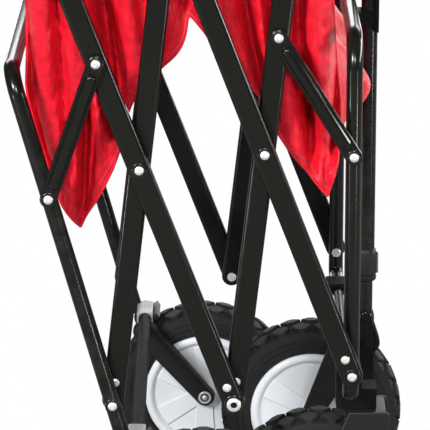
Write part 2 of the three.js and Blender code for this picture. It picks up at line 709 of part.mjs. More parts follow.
// Keeper: clamped round the top crossbar, with a channel the sleeve parks in, open to the front.
const keeperHalf = 13;
const CLAMP_HALF = 12; // crossbar middle to the outside of a clamp round it
let keeper = box([barFront + 1, handleX + KEEPER_AHEAD], [-keeperHalf, keeperHalf], keeperEnds);
const clamp = [frontTopZ - CLAMP_HALF, keeperEnds[1]];
keeper = keeper.add(box([frontX - CLAMP_HALF, barFront + 2], [-keeperHalf, keeperHalf], clamp));
keeper = keeper.subtract(drum([frontX, frontTopZ], POST_DIAMETER / 2 + RUN, [-20, 20], 24));
keeper = keeper.subtract(upright(handleX, 0, SLEEVE_RADIUS + RUN, [keeperEnds[0] - 1, keeperEnds[1] + 1]));
keeper = keeper.subtract(box(
  [handleX, handleX + KEEPER_AHEAD + 1],
  [-SLEEVE_RADIUS - RUN, SLEEVE_RADIUS + RUN],
  [keeperEnds[0] - 1, keeperEnds[1] + 1],
));
plastic('handle_keeper', keeper);

// Grip: a D-shaped loop across the handle on a socket that caps the sleeve.
const gripFoot = sleeveTop - 22;
const gripTop = gripFoot + GRIP_HEIGHT + 22;
const gripShape = new THREE.Shape();
const gripHalf = GRIP_WIDTH / 2;
gripShape.moveTo(-12, sleeveTop - 4);
gripShape.lineTo(12, sleeveTop - 4);
gripShape.lineTo(gripHalf, gripTop - 34);
gripShape.quadraticCurveTo(gripHalf + 2, gripTop, gripHalf - 26, gripTop);
gripShape.lineTo(-gripHalf + 26, gripTop);
gripShape.quadraticCurveTo(-gripHalf - 2, gripTop, -gripHalf, gripTop - 34);
gripShape.closePath();
const gripHole = new THREE.Path();
gripHole.moveTo(-8, sleeveTop + 22);
gripHole.lineTo(-gripHalf + 21, gripTop - 36);
gripHole.quadraticCurveTo(-gripHalf + 20, gripTop - 23, -gripHalf + 34, gripTop - 23);
gripHole.lineTo(gripHalf - 34, gripTop - 23);
gripHole.quadraticCurveTo(gripHalf - 20, gripTop - 23, gripHalf - 21, gripTop - 36);
gripHole.lineTo(8, sleeveTop + 22);
gripHole.closePath();
gripShape.holes.push(gripHole);
const gripLoop = new THREE.ExtrudeGeometry(gripShape, {
  depth: GRIP_THICK - 8,
  bevelEnabled: true,
  bevelThickness: 4,
  bevelSize: 4,
  bevelOffset: -4,
  bevelSegments: 2,
  curveSegments: 5,
});
gripLoop.rotateX(Math.PI / 2);
gripLoop.rotateZ(Math.PI / 2);
gripLoop.translate(handleX - GRIP_THICK / 2 + 4, 0, 0);
let grip = solid(gripLoop).add(upright(handleX, 0, 11, [gripFoot, sleeveTop + 6]));
grip = grip.subtract(upright(handleX, 0, SLEEVE_RADIUS + RUN, [gripFoot - 1, sleeveTop + RUN]));
plastic('handle_grip', grip);

// ---- bag ----------------------------------------------------------------------------------------
// Lower edge of the cloth at rest, from the rear hem over the raised middle of the floor to the front hem.
const onTube = (name, z) => {
  const { foot, top } = tubes[name];
  return between(foot, top, (z - foot[1]) / (top[1] - foot[1]));
};
const BAG_HALF = innerBack - BAG_AIR;
const seamLow = topPivot[1] - 163.3; // foot of the seams along tubes 2 and 3
const HUB_DROP = 16; // the sides reach up to the centre pivots
const rearEdge = [[35, 408], [11.4, 326], [1.6, 296], [0.4, 206], [14.8, 163]].map(([a, u]) => onRearPost(a, u));
const frontEdge = [[-23, -153], [-12, -118], [-10, -66], [-16, -26], [-21, 49]].map(
  (p) => plus([frontX, frontTopZ], p),
);
const rearFloor = [
  rearEdge[4],
  plus(rearCross, [-20, 0]),
  plus(rearCross, [-11, 53]),
  onTube('tube_2', seamLow),
];
const midFloor = [
  onTube('tube_2', seamLow),
  plus(topPivot, [-2.7, -148]),
  plus(topPivot, [9, -136.4]),
  plus(topPivot, [14.5, -121.4]),
  plus(topPivot, [16.4, -101.4]),
  plus(topPivot, [26.5, -110.8]),
  onTube('tube_3', seamLow),
];
const frontFloor = [
  onTube('tube_3', seamLow),
  plus(frontCross, [-4, 50]),
  plus(frontCross, [14, 6]),
  frontEdge[0],
];
const hubLeft = plus(topPivot, [0, -HUB_DROP]);
const seamRear = onTube('tube_2', hubLeft[1]);
const seamFront = onTube('tube_3', hubLeft[1]);
const ribbon = (line, thick) => {
  const back = line.map(([x, z], i) => {
    const a = line[Math.max(0, i - 1)];
    const b = line[Math.min(line.length - 1, i + 1)];
    const d = minus2(b, a);
    const size = Math.hypot(d[0], d[1]);
    return [x - (d[1] / size) * thick, z + (d[0] / size) * thick];
  });
  return outline([...line, ...back.reverse()]);
};
const sideSpan = (side) => span(side, BAG_HALF - CLOTH / 2, CLOTH);
const inside = BAG_HALF - CLOTH - RUN;
function bagPart(sideOutline, floorLine) {
  const sides = SIDES.map(([, side]) => plate(outline(sideOutline), sideSpan(side)));
  const floor = plate(ribbon(floorLine, WALL_CLOTH), [-inside - 1, inside + 1]);
  return join([...sides, floor]);
}
const shift = (line, dx) => line.map(([x, z]) => [x + dx, z]);
const SEAM = 0.3;
// Everything on one side of a tube's centre line, moved by dx: what a seam along that tube cuts away.
function beyond(name, dx, reach) {
  const low = onTube(name, bracketFoot);
  const high = onTube(name, sleeveTop * 2);
  const corners = [low, high, plus(high, [reach, 0]), plus(low, [reach, 0])];
  return plate(outline(shift(corners, dx)), [-BAG_HALF - 1, BAG_HALF + 1]);
}
const FAR = 500;
const rearInside = shift(rearEdge, WALL_CLOTH + RUN);
const overRear = plus(seamRear, [10, 0]);
const rearCloth = bagPart(
  [...rearInside, ...rearFloor.slice(1), midFloor[1], overRear],
  [plus(rearFloor[0], [7, 4]), ...rearFloor.slice(1), midFloor[1]],
);
cloth('bag_rear', rearCloth.subtract(beyond('tube_2', -SEAM, FAR)));
const middleCloth = bagPart(
  [rearFloor[2], ...midFloor, frontFloor[1], seamFront, seamRear],
  [rearFloor[2], ...midFloor, frontFloor[1]],
);
cloth('bag_middle', middleCloth.subtract(beyond('tube_2', 0, -FAR)).subtract(beyond('tube_3', 0, FAR)));
const frontInside = shift(frontEdge, -WALL_CLOTH - RUN);
const frontCloth = bagPart(
  [plus(seamFront, [-10, 0]), midFloor.at(-2), ...frontFloor.slice(0, -1), ...frontInside],
  [midFloor.at(-2), ...frontFloor.slice(0, -1), plus(frontFloor[3], [-7, 4])],
);
cloth('bag_front', frontCloth.subtract(beyond('tube_3', SEAM, -FAR)));
const thick = (line, dx) => outline([...line, ...shift(line, dx).reverse()]);
cloth('bag_end_rear', plate(thick(rearEdge, WALL_CLOTH), [-BAG_HALF + 4, BAG_HALF - 4]));
const HEM_TAB = [7, 8]; // depth and half height of the tab that ties the front wall to the keeper
const tabFront = frontX - CLAMP_HALF - RUN;
const hemTab = box(
  [tabFront - HEM_TAB[0], tabFront],
  [-keeperHalf, keeperHalf],
  [frontTopZ - HEM_TAB[1], frontTopZ + HEM_TAB[1]],
);
const frontWall = plate(thick(frontEdge, -WALL_CLOTH), [-BAG_HALF + 4, BAG_HALF - 4]);
cloth('bag_end_front', frontWall.add(hemTab));

export default wagon;
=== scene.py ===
"""A folding wagon with a pull handle, half folded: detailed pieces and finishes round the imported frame."""

import json
import math
from collections import defaultdict
from itertools import product

import bmesh
import bpy
import numpy as np
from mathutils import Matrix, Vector, noise


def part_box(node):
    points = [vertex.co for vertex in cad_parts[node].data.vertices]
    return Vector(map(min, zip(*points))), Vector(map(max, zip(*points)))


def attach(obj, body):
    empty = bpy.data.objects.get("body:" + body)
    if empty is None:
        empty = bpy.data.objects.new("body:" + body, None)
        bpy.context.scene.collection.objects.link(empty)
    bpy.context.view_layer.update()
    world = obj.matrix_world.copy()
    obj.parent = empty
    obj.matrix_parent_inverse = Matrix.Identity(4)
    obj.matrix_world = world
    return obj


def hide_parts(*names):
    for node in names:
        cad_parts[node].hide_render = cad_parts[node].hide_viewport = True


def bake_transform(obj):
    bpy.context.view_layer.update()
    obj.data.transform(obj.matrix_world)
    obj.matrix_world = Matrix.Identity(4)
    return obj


bl_info = {
    "name": "Folding Wagon",
    "version": (1, 0, 0),
    "blender": (4, 5, 0),
    "location": "View3D > Sidebar > Wagon",
    "description": "Builds the tubes, wheels, handle and cloth bag of a wagon on its packed frame",
    "category": "Object",
}

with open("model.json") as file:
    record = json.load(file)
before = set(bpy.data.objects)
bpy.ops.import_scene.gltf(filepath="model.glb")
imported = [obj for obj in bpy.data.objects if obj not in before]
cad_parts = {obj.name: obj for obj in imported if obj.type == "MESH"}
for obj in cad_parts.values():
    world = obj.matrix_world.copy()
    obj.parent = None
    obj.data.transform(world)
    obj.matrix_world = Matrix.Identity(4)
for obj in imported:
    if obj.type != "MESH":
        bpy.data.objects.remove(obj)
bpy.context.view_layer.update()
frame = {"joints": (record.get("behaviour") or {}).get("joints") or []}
METRE = 1000  # pieces are drawn in millimetres and made in metres
SIDES = (("left", 1), ("right", -1))

# ---- linkage points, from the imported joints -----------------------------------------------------
JOINT_AT = {j["name"]: Vector(j["pos_m"]) for j in frame["joints"] if "pos_m" in j}


def flat(name):
    """A joint's place in the side plane, X and Z, in millimetres."""
    return np.array((JOINT_AT[name].x, JOINT_AT[name].z)) * METRE


REAR_END = flat("rear_end_pivot")
FRONT_END = flat("front_end_pivot")
REAR_CROSS = flat("rear_crossing_pivot")
FRONT_CROSS = flat("front_crossing_pivot")
TOP_PIVOT = flat("fold")
LOW_PIVOT = REAR_CROSS + FRONT_CROSS - TOP_PIVOT
REAR_LINK_FOOT = flat("rear_link_pivot")
FRONT_LINK_FOOT = flat("front_link_pivot")
LINK_ARM = 108.0  # along a tube, from its crossing to the pivot of an end link
FREE_END = 199  # along tube 1 or 4, from its crossing to its free end


def unit(v):
    return v / np.linalg.norm(v)


BACK_AXIS = unit(REAR_CROSS - LOW_PIVOT)  # tubes 1 and 3
FORE_AXIS = unit(TOP_PIVOT - REAR_END)  # tubes 2 and 4
REAR_ARM = REAR_CROSS + BACK_AXIS * LINK_ARM
FRONT_ARM = FRONT_CROSS + FORE_AXIS * LINK_ARM
POST_AXIS = unit(REAR_LINK_FOOT - REAR_END)

# ---- sizes shared by several pieces -------------------------------------------------------------
OUTER_PLANE = 210  # middle of tubes 1 and 3, out from the wagon's middle plane
INNER_PLANE = 196  # middle of tubes 2 and 4
TUBE_WIDE = 20.6
TUBE_DEEP = 12
TUBE_EDGE = 3.4  # rounding between a tube's flat face and its narrow side
OUTER_FACE, OUTER_BACK = OUTER_PLANE + TUBE_DEEP / 2, OUTER_PLANE - TUBE_DEEP / 2
INNER_FACE, INNER_BACK = INNER_PLANE + TUBE_DEEP / 2, INNER_PLANE - TUBE_DEEP / 2
POST_RADIUS = 7.5
REAR_POST_Y = 210.2
FRONT_POST_Y = INNER_PLANE
RIVET_HEAD = 4.4
SECOND_RIVET = 18  # along a tube, from its lower pivot to its plug rivet
RUN = 0.3  # clearance between a rivet or bolt and what turns on it

SLOTS = {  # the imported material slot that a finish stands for
    "powder": "black_powder_coat",
    "matt": "black_plastic",
    "moulded": "black_plastic",
    "button": "black_plastic",
    "steel": "zinc_steel",
    "hollow": "zinc_steel",
    "saddle": "zinc_steel",
    "rubber": "tyre",
    "hub": "white_plastic",
    "cloth": "red_cloth",
    "thread": "red_cloth",
}
FINISH = {}
GROUPS = {}


# ---- mesh building ------------------------------------------------------------------------------
class Shape:
    """Points and faces of one piece while it is put together."""

    def __init__(self):
        self.points = []
        self.faces = []

    def skin(self, rings, closed=True):
        """Joins rings of equal count one to the next and may close the two ends."""
        n, base = len(rings[0]), len(self.points)
        starts = range(base, base + n * len(rings), n)
        self.points += [tuple(p) for ring in rings for p in ring]
        for a, b in zip(starts, starts[1:]):
            self.faces += [(a + i, a + (i + 1) % n, b + (i + 1) % n, b + i) for i in range(n)]
        if closed:
            self.faces += [tuple(starts[0] + i for i in reversed(range(n)))]
            self.faces += [tuple(starts[-1] + i for i in range(n))]


def link(name, data):
    """An object of the scene that shows some data."""
    made = bpy.data.objects.new(name, data)
    bpy.context.scene.collection.objects.link(made)
    return made


def make(name, shape, finish, body, old=None, slot=None, sharp=38):
    """Turns a shape into a smooth object that rides on a body and may stand in for an old part."""
    mesh = bpy.data.meshes.new(name)
    mesh.from_pydata([(x / METRE, y / METRE, z / METRE) for x, y, z in shape.points], [], shape.faces)
    mesh.validate()
    mesh.materials.append(FINISH[finish])
    mesh.shade_smooth()
    mesh.set_sharp_from_angle(angle=math.radians(sharp))
    piece = link(name, mesh)
    outward(mesh)
    if body:
        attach(piece, body)
    slot or SLOTS[finish]
    if old:
        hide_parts(old)
    return piece


def outward(mesh):
    """Turns every closed shell of a mesh so that its faces look out."""
    work = bmesh.new()
    work.from_mesh(mesh)
    bmesh.ops.recalc_face_normals(work, faces=work.faces)
    work.to_mesh(mesh)
    work.free()
    mesh.update()


def arc(centre, radius, start, end, steps):
    return [
        (centre[0] + radius * math.cos(a), centre[1] + radius * math.sin(a))
        for a in np.linspace(start, end, steps)
    ]


def strap(p, q, rp, rq, steps=14):
    """Outline of a strap with round ends, of end radii rp and rq about p and q."""
    d = np.subtract(q, p)
    heading = math.atan2(d[1], d[0])
    side = math.pi / 2 - math.asin((rp - rq) / np.linalg.norm(d))
    tip = arc(q, rq, heading - side, heading + side, steps)
    return tip + arc(p, rp, heading + side, heading - side + 2 * math.pi, steps)


def circle(radius, count):
    """Points once round a circle, the first at angle zero."""
    return arc((0, 0), radius, 0, 2 * math.pi, count + 1)[:-1]


def rectangle(a, b, corner, steps=4):
    """Outline of a rectangle between corners a and b, its corners rounded."""
    (x0, z0), (x1, z1) = np.add(a, corner), np.subtract(b, corner)
    line = []
    for k, c in enumerate(((x1, z1), (x0, z1), (x0, z0), (x1, z0))):
        line += arc(c, corner, k * math.pi / 2, (k + 1) * math.pi / 2, steps)
    return line


def inset(line, amount):
    """A closed outline moved inward by an amount, along the mean of its sides' normals."""
    p = np.array(line, float)
    ahead = np.roll(p, -1, 0) - p
    if np.cross(p, np.roll(p, -1, 0)).sum() < 0:
        amount = -amount
    n = np.stack((-ahead[:, 1], ahead[:, 0]), 1)
    n /= np.maximum(np.linalg.norm(n, axis=1, keepdims=True), 1e-12)
    both = n + np.roll(n, 1, 0)
    both /= np.maximum((both**2).sum(1, keepdims=True) / 2, 0.35)
    return p + both * amount


ON_SIDE = "side"  # an outline in X and Z, thick along Y
ON_TOP = "top"  # an outline in X and Y, thick along Z
ON_FRONT = "front"  # an outline in Y and Z, thick along X


def lay(line, height, plane):
    if plane == ON_SIDE:
        return [(a, height, b) for a, b in line]
    if plane == ON_TOP:
        return [(a, b, height) for a, b in line]
    return [(height, a, b) for a, b in line]


def plate(shape, line, span, edge, plane=ON_SIDE, steps=4):
    """A plate with rounded rims: an outline spread over span."""
    low, high = min(span), max(span)
    flat_rim = edge + 0.25  # a ring on each flat face that keeps the rounding crisp
    turn = np.linspace(0, math.pi / 2, steps + 1)
    levels = [(edge * (1 - math.sin(a)), edge * (1 - math.cos(a))) for a in turn]
    rims = [(flat_rim, low), *((back, low + up) for back, up in levels)]
    rims += [*((back, high - up) for back, up in reversed(levels)), (flat_rim, high)]
    shape.skin([lay(inset(line, back), height, plane) for back, height in rims])


def lathe(shape, spot, profile, sides, plane, closed=True):
    """Turns a profile of radius and height about a spot of a plane; a radius of zero closes it."""
    rings = []
    for radius, height in profile:
        ring = circle(max(radius, 1e-6), sides)
        rings.append(lay([(spot[0] + u, spot[1] + v) for u, v in ring], height, plane))
    shape.skin(rings, closed)


def stud(shape, spot, side, face, profile, sides=24, middle=0, closed=True):
    """A turned part on a face that is parallel to the side plane and looks out (side 1) or in (side -1).

    The face is measured from middle, and the profile's heights from the face."""
    profile = [(radius, middle + side * (face + height)) for radius, height in profile]
    lathe(shape, spot, profile, sides, ON_SIDE, closed)


def rod(shape, spot, side, face, radius, low, high, sides=24, middle=0):
    """A plain round bar from low to high above a face."""
    stud(shape, spot, side, face, ((0, low), (radius, low), (radius, high), (0, high)), sides, middle)


def bent(points, radii, per=12):
    """Rounds the inner corners of a polyline to radii."""
    points = [Vector(p) for p in points]
    path = [points[0]]
    for i in range(1, len(points) - 1):
        corner, radius = points[i], radii[i - 1]
        back = (points[i - 1] - corner).normalized()
        fore = (points[i + 1] - corner).normalized()
        half = back.angle(fore) / 2
        middle = corner + (back + fore).normalized() * (radius / math.sin(half))
        reach = radius / math.tan(half)
        start, end = corner + back * reach - middle, corner + fore * reach - middle
        turn = start.angle(end)
        for k in range(per + 1):
            t = k / per
            spoke = start * math.sin((1 - t) * turn) + end * math.sin(t * turn)
            path.append(middle + spoke / math.sin(turn))
    return path + [points[-1]]


def sweep(shape, path, radius, sides=28, loop=False):
    """A round bar along a path, or round it and back to its start."""
    path = [Vector(p) for p in path]
    normal = None
    rings = []
    last = len(path) - 1
    outline = circle(radius, sides)
    for i, p in enumerate(path):
        into = p - path[i - 1] if i or loop else path[1] - p
        out = path[(i + 1) % (last + 1)] - p if i < last or loop else into
        tangent = (into.normalized() + out.normalized()).normalized()
        if normal is None:
            seed = Vector((1, 0, 0)) if abs(tangent.x) < 0.8 else Vector((0, 0, 1))
            normal = tangent.cross(seed).normalized()
        normal = (normal - tangent * normal.dot(tangent)).normalized()
        side = tangent.cross(normal)
        rings.append([p + normal * a + side * b for a, b in outline])
    if loop:
        rings.append(rings[0])
    shape.skin(rings, not loop)


# ---- shader groups ------------------------------------------------------------------------------
def group(name, inputs, outputs):
    """An empty shader group with named number sockets; gives its tree and what enters and leaves it."""
    tree = bpy.data.node_groups.new(name, "ShaderNodeTree")
    for label, default in inputs.items():
        socket = tree.interface.new_socket(label, in_out="INPUT", socket_type="NodeSocketFloat")
        socket.default_value = default
    for label in outputs:
        tree.interface.new_socket(label, in_out="OUTPUT", socket_type="NodeSocketFloat")
    return tree, tree.nodes.new("NodeGroupInput").outputs, tree.nodes.new("NodeGroupOutput").inputs


def feed(tree, made, **values):
    """Sets a node's properties and inputs; a socket given as a value is linked to the input."""
    for key, value in values.items():
        label = key.replace("_", " ")
        if isinstance(value, bpy.types.NodeSocket):
            tree.links.new(value, made.inputs[label])
        elif hasattr(made, key):
            setattr(made, key, value)
        else:
            made.inputs[label].default_value = value
    return made


def node(tree, kind, **values):
    return feed(tree, tree.nodes.new("ShaderNode" + kind), **values)


def placed(tree, key, **values):
    """A shader group put into a tree; gives its outputs."""
    return node(tree, "Group", node_tree=GROUPS[key], **values).outputs


def object_place(tree):
    return node(tree, "TexCoord").outputs["Object"]


def maths(tree, operation, a, b):
    made = node(tree, "Math", operation=operation)
    tree.links.new(a, made.inputs[0])
    if isinstance(b, float):
        made.inputs[1].default_value = b
    else:
        tree.links.new(b, made.inputs[1])
    return made.outputs[0]


def span_map(tree, value, low, high, to_low=0.0, to_high=1.0):
    made = node(tree, "MapRange", Value=value, From_Min=low, From_Max=high, To_Min=to_low, To_Max=to_high)
    return made.outputs["Result"]


def two_tone(tree, mask, low, high):
    """From one colour to another by a mask; each is a tuple or a socket."""
    low, high = (c if isinstance(c, bpy.types.NodeSocket) else (*c, 1.0) for c in (low, high))
    return node(tree, "Mix", data_type="RGBA", Factor=mask, A=low, B=high).outputs["Result"]


def bump(tree, height, strength, distance):
    return node(tree, "Bump", Strength=strength, Distance=distance, Height=height).outputs["Normal"]


def principled(name, **constants):
    material = bpy.data.materials.new(name)
    material.use_nodes = True
    tree = material.node_tree
    return material, tree, feed(tree, tree.nodes["Principled BSDF"], **constants)


def linear(rgb):
    """Display values from 0 to 255 as linear colour."""
    return tuple(((c / 255 + 0.055) / 1.055) ** 2.4 if c > 10 else c / 255 / 12.92 for c in rgb)


def grain_group():
    """Fine grain and a broader mottle, both from 0 to 1."""
    tree, enter, leave = group("Surface grain", {"Scale": 900.0, "Mottle scale": 30.0}, ("Grain", "Mottle"))
    where = object_place(tree)
    for scale, out, detail in (("Scale", "Grain", 2.0), ("Mottle scale", "Mottle", 4.0)):
        cloud = node(tree, "TexNoise", Detail=detail, Roughness=0.55, Vector=where, Scale=enter[scale])
        tree.links.new(cloud.outputs["Fac"], leave[out])
    return tree


def wear_group():
    """A mask that is 1 on convex rims that have rubbed, broken up by noise."""
    tree, enter, leave = group("Rim wear", {"Amount": 0.5, "Break up": 60.0}, ("Wear",))
    cloud = node(
        tree, "TexNoise", Detail=5.0, Roughness=0.7, Vector=object_place(tree), Scale=enter["Break up"]
    )
    convex = span_map(tree, node(tree, "NewGeometry").outputs["Pointiness"], 0.505, 0.56)
    patch = span_map(tree, cloud.outputs["Fac"], 0.42, 0.68)
    both = maths(tree, "MULTIPLY", convex, patch)
    tree.links.new(maths(tree, "MULTIPLY", both, enter["Amount"]), leave["Wear"])
    return tree


def weave_group():
    """Plain weave of warp and weft with uneven yarns: a height and a shade, from 0 to 1; the cloth darkens by
    the shade both as yarn tone and as painted fold shade.
    """
    tree, enter, leave = group("Plain weave", {"Yarns per metre": 1400.0}, ("Height", "Shade"))
    where = object_place(tree)
    scale = maths(tree, "MULTIPLY", enter["Yarns per metre"], 0.31)
    warp, weft = (
        node(tree, "TexWave", bands_direction=axis, Distortion=0.6, Detail=1.0, Vector=where, Scale=scale)
        for axis in ("X", "Z")
    )
    slub = node(tree, "TexNoise", Scale=90.0, Detail=6.0, Roughness=0.75, Vector=where)
    tree.links.new(maths(tree, "MULTIPLY", warp.outputs["Fac"], weft.outputs["Fac"]), leave["Height"])
    tree.links.new(slub.outputs["Fac"], leave["Shade"])
    return tree


# ---- finishes -----------------------------------------------------------------------------------
def coated(name, colour, worn, roughness, grain_scale, depth, coat, gloss=0.2):
    """A mottled coat of paint or plastic, worn on its rims."""
    material, tree, shader = principled(name, Coat_Weight=coat, Coat_Roughness=0.07, Specular_IOR_Level=gloss)
    spots = placed(tree, "grain", Scale=grain_scale, Mottle_scale=22.0)
    tone = two_tone(tree, spots["Mottle"], [c * 0.9 for c in colour], colour)
    worn_tone = two_tone(tree, placed(tree, "wear", Amount=0.12)["Wear"], tone, linear(worn))
    rough = span_map(tree, spots["Mottle"], 0.3, 0.7, roughness - 0.02, roughness + 0.03)
    feed(tree, shader, Base_Color=worn_tone, Roughness=rough, Normal=bump(tree, spots["Grain"], 0.5, depth))
    return material


def speckled(name, low, high, grain_scale, mottle_scale, rough=None, raised=None, **constants):
    """Two mottled tones; rough is a range of roughness, raised the strength and depth of the grain."""
    material, tree, shader = principled(name, **constants)
    spots = placed(tree, "grain", Scale=grain_scale, Mottle_scale=mottle_scale)
    feed(tree, shader, Base_Color=two_tone(tree, spots["Mottle"], linear(low), linear(high)))
    if rough:
        feed(tree, shader, Roughness=span_map(tree, spots["Mottle"], 0.3, 0.7, *rough))
    if raised:
        feed(tree, shader, Normal=bump(tree, spots["Grain"], *raised))
    return material


def cloth_finish(red):
    """Coated cloth: a fine weave with slubs and small creases, darker on its inner side; the slubs darken it
    in patches to a dark red that stands in for fold shade, so part of its tone is painted shade.
    """
    coat = {"Coat_Weight": 0.12, "Coat_Roughness": 0.3, "Sheen_Weight": 0.01, "Sheen_Roughness": 0.4}
    material, tree, shader = principled("red_coated_cloth", Specular_IOR_Level=0.35, **coat)
    weave = placed(tree, "weave")
    mottle = placed(tree, "grain", Scale=60.0, Mottle_scale=14.0)["Mottle"]
    # painted shade: in patches, slub noise pulls the red down to this dark red, darker than yarn tone alone,
    # in place of shade in the folds
    slub_and_painted_shade_red = (red[0] * 0.5, red[1] * 0.12, red[2] * 0.2)
    tone = two_tone(tree, span_map(tree, weave["Shade"], 0.25, 0.6), slub_and_painted_shade_red, red)
    back = node(tree, "NewGeometry").outputs["Backfacing"]
    squeeze = node(tree, "Mapping", Scale=(1.0, 1.0, 0.32), Vector=object_place(tree)).outputs["Vector"]
    crease = node(tree, "TexNoise", Scale=46.0, Detail=5.0, Roughness=0.6, Distortion=0.7, Vector=squeeze)
    height = maths(tree, "ADD", maths(tree, "MULTIPLY", weave["Height"], 0.1), crease.outputs["Fac"])
    feed(
        tree,
        shader,
        Base_Color=two_tone(tree, back, tone, [c * 0.8 for c in red]),
        Roughness=span_map(tree, mottle, 0.3, 0.7, 0.34, 0.5),
        Normal=bump(tree, height, 0.9, 0.008),
    )
    return material


def build_finishes(metal, wheels, bag):
    """Every material of the wagon, by name."""
    GROUPS.update(grain=grain_group(), wear=wear_group(), weave=weave_group())
    moulded, button, saddle, matt = (
        linear(rgb) for rgb in ((26, 26, 27), (92, 92, 92), (142, 145, 146), (20, 20, 20))
    )
    powder, rough = metal.powder_colour, metal.powder_roughness
    for key, name, colour, worn, *surface in (
        ("powder", "powder_coat_black", powder, (84, 84, 82), rough, 1300.0, 0.00006, 0.12),
        ("moulded", "moulded_black_plastic", moulded, (60, 60, 60), 0.45, 1900.0, 0.00005, 0.0),
        ("rubber", "tyre_rubber", wheels.rubber_colour, (70, 70, 70), 0.72, 700.0, 0.00012, 0.0),
        ("hub", "white_hub_plastic", wheels.hub_colour, (240, 240, 240), 0.36, 1500.0, 0.00003, 0.1),
        ("button", "grey_button_plastic", button, (130, 130, 130), 0.4, 1500.0, 0.00003, 0.0),
        ("saddle", "grey_saddle", saddle, (176, 178, 179), 0.4, 1500.0, 0.00003, 0.1),
        ("matt", "matt_black_paint", matt, (40, 40, 40), 0.55, 1700.0, 0.00004, 0.0, 0.03),
    ):
        FINISH[key] = coated(name, colour, worn, *surface)
    for key, name, low, high, *surface, constants in (
        ("steel", "zinc_plated_steel", (206, 206, 204), (236, 236, 234), 1500.0, 240.0, (0.34, 0.46),
         (0.3, 0.00003), {"Metallic": 0.75}),
        # painted shade: darker steel for the discs that sit in the bolts' grooves
        ("hollow", "painted_groove_shade", (40, 40, 40), (96, 96, 96), 1500.0, 300.0, (0.35, 0.6), {"Metallic": 0.6}),
        ("thread", "red_thread", (120, 6, 22), (214, 40, 60), 2500.0, 400.0, None, (0.6, 0.0002),
         {"Roughness": 0.6}),
    ):
        FINISH[key] = speckled(name, low, high, *surface, **constants)
    FINISH["cloth"] = cloth_finish(bag.cloth_colour)


# ---- settings -----------------------------------------------------------------------------------
def number(name, description, low, high, default, unit="NONE"):
    return bpy.props.FloatProperty(
        name=name, description=description, min=low, max=high, default=default, unit=unit
    )


def paint(name, description, rgb):
    return bpy.props.FloatVectorProperty(
        name=name, description=description, subtype="COLOR", size=3, min=0, max=1, default=linear(rgb)
    )


class WagonMetal(bpy.types.PropertyGroup):
    powder_colour: paint("Powder coat", "Colour of the tubes", (15, 15, 12))
    powder_roughness: number("Powder roughness", "How matt the powder coat is", 0.1, 0.9, 0.22)
    washer_height: number(
        "Washer height", "How far the ring round a rivet stands up", 0.0002, 0.002, 0.0007, "LENGTH"
    )


class WagonWheels(bpy.types.PropertyGroup):
    blocks: bpy.props.IntProperty(
        name="Tread blocks", description="Blocks in each row of the tread", min=12, max=40, default=26
    )
    block_height: number("Block height", "Rise of a block off the carcass", 0.001, 0.006, 0.0034, "LENGTH")
    rubber_colour: paint("Tyre", "Colour of the tyres", (24, 24, 25))
    hub_colour: paint("Hub", "Colour of the hubs", (200, 204, 208))


class WagonBag(bpy.types.PropertyGroup):
    cloth_colour: paint("Cloth", "Colour of the bag", (248, 8, 44))
    fold_depth: number("Fold depth", "Scale of the folds in the sides", 0.2, 2.0, 1.7)
    thickness: number("Thickness", "Thickness of the cloth", 0.0003, 0.003, 0.0009, "LENGTH")


class WagonStage(bpy.types.PropertyGroup):
    elevation: number("Camera height", "Angle above level", 0.0, 1.5, math.radians(16), "ROTATION")
    lens: number("Lens", "Focal length on a 36 mm sensor", 20, 400, 268.0)
    lamp: number("Lamp power", "Scale of every lamp", 0.1, 4.0, 1.0)


# ---- tubes, frames, links -----------------------------------------------------------------------
TUBES = {
    "tube_1": (LOW_PIVOT, REAR_CROSS + BACK_AXIS * FREE_END, OUTER_PLANE, "scissor_1"),
    "tube_2": (REAR_END, TOP_PIVOT, INNER_PLANE, "scissor_2"),
    "tube_3": (FRONT_END, TOP_PIVOT, OUTER_PLANE, "scissor_3"),
    "tube_4": (LOW_PIVOT, FRONT_CROSS + FORE_AXIS * FREE_END, INNER_PLANE, "scissor_4"),
}


def sided(side, *values):
    return tuple(side * v for v in values)


def ring_round(shape, spot, side, face, inner, outer, height):
    """A low ring that stands on a face, about a rivet."""
    foot = -0.2
    profile = [(inner, foot), (inner, height), (outer - 0.5, height), (outer, height * 0.5), (outer, foot)]
    stud(shape, spot, side, face, profile + profile[:1], 32, closed=False)


def head(shape, spot, side, face, radius, height, hollow, depth):
    """A domed rivet head with a hollow in its middle; gives how far out the hollow's floor is."""
    rim = 0.35
    dome = np.linspace(0.2, math.acos((hollow + 0.25) / radius), 8)
    profile = [(0, 0), (radius, 0), (radius, rim)]
    profile += [(radius * math.cos(a), rim + (height - rim) * math.sin(a)) for a in dome]
    top = profile[-1][1]
    profile += [(hollow, top - 0.12), (hollow * 0.9, top - depth), (0, top - depth)]
    stud(shape, spot, side, face, profile, 32)
    return face + top - depth


class WAGON_OT_tubes(bpy.types.Operator):
    """Builds the eight flat-oval scissor tubes with their plugged round ends"""

    bl_idname = "wagon.scissor_tubes"
    bl_label = "Scissor tubes"

    def execute(self, context):
        for (name, (foot, top, plane, body)), (label, side) in product(TUBES.items(), SIDES):
            shape = Shape()
            line = strap(foot, top, TUBE_WIDE / 2, TUBE_WIDE / 2, 20)
            faces = sided(side, plane - TUBE_DEEP / 2, plane + TUBE_DEEP / 2)
            plate(shape, line, faces, TUBE_EDGE, steps=6)
            make(f"{name}_{label}_tube", shape, "powder", body, f"{name}_{label}")
        return {"FINISHED"}


ACROSS = np.array((POST_AXIS[1], -POST_AXIS[0]))  # forward, square to the rear posts
REAR_TOP = REAR_END + POST_AXIS * 331
REAR_FOOT = REAR_END - POST_AXIS * 45
REAR_BAR = REAR_END + ACROSS * 13 - POST_AXIS * 39
BAR_RADIUS = 6.8
REAR_BENDS = (25, 25)
FRONT_BENDS = (11, 30, 30, 11)


def place(p, y):
    return Vector((p[0], y, p[1]))


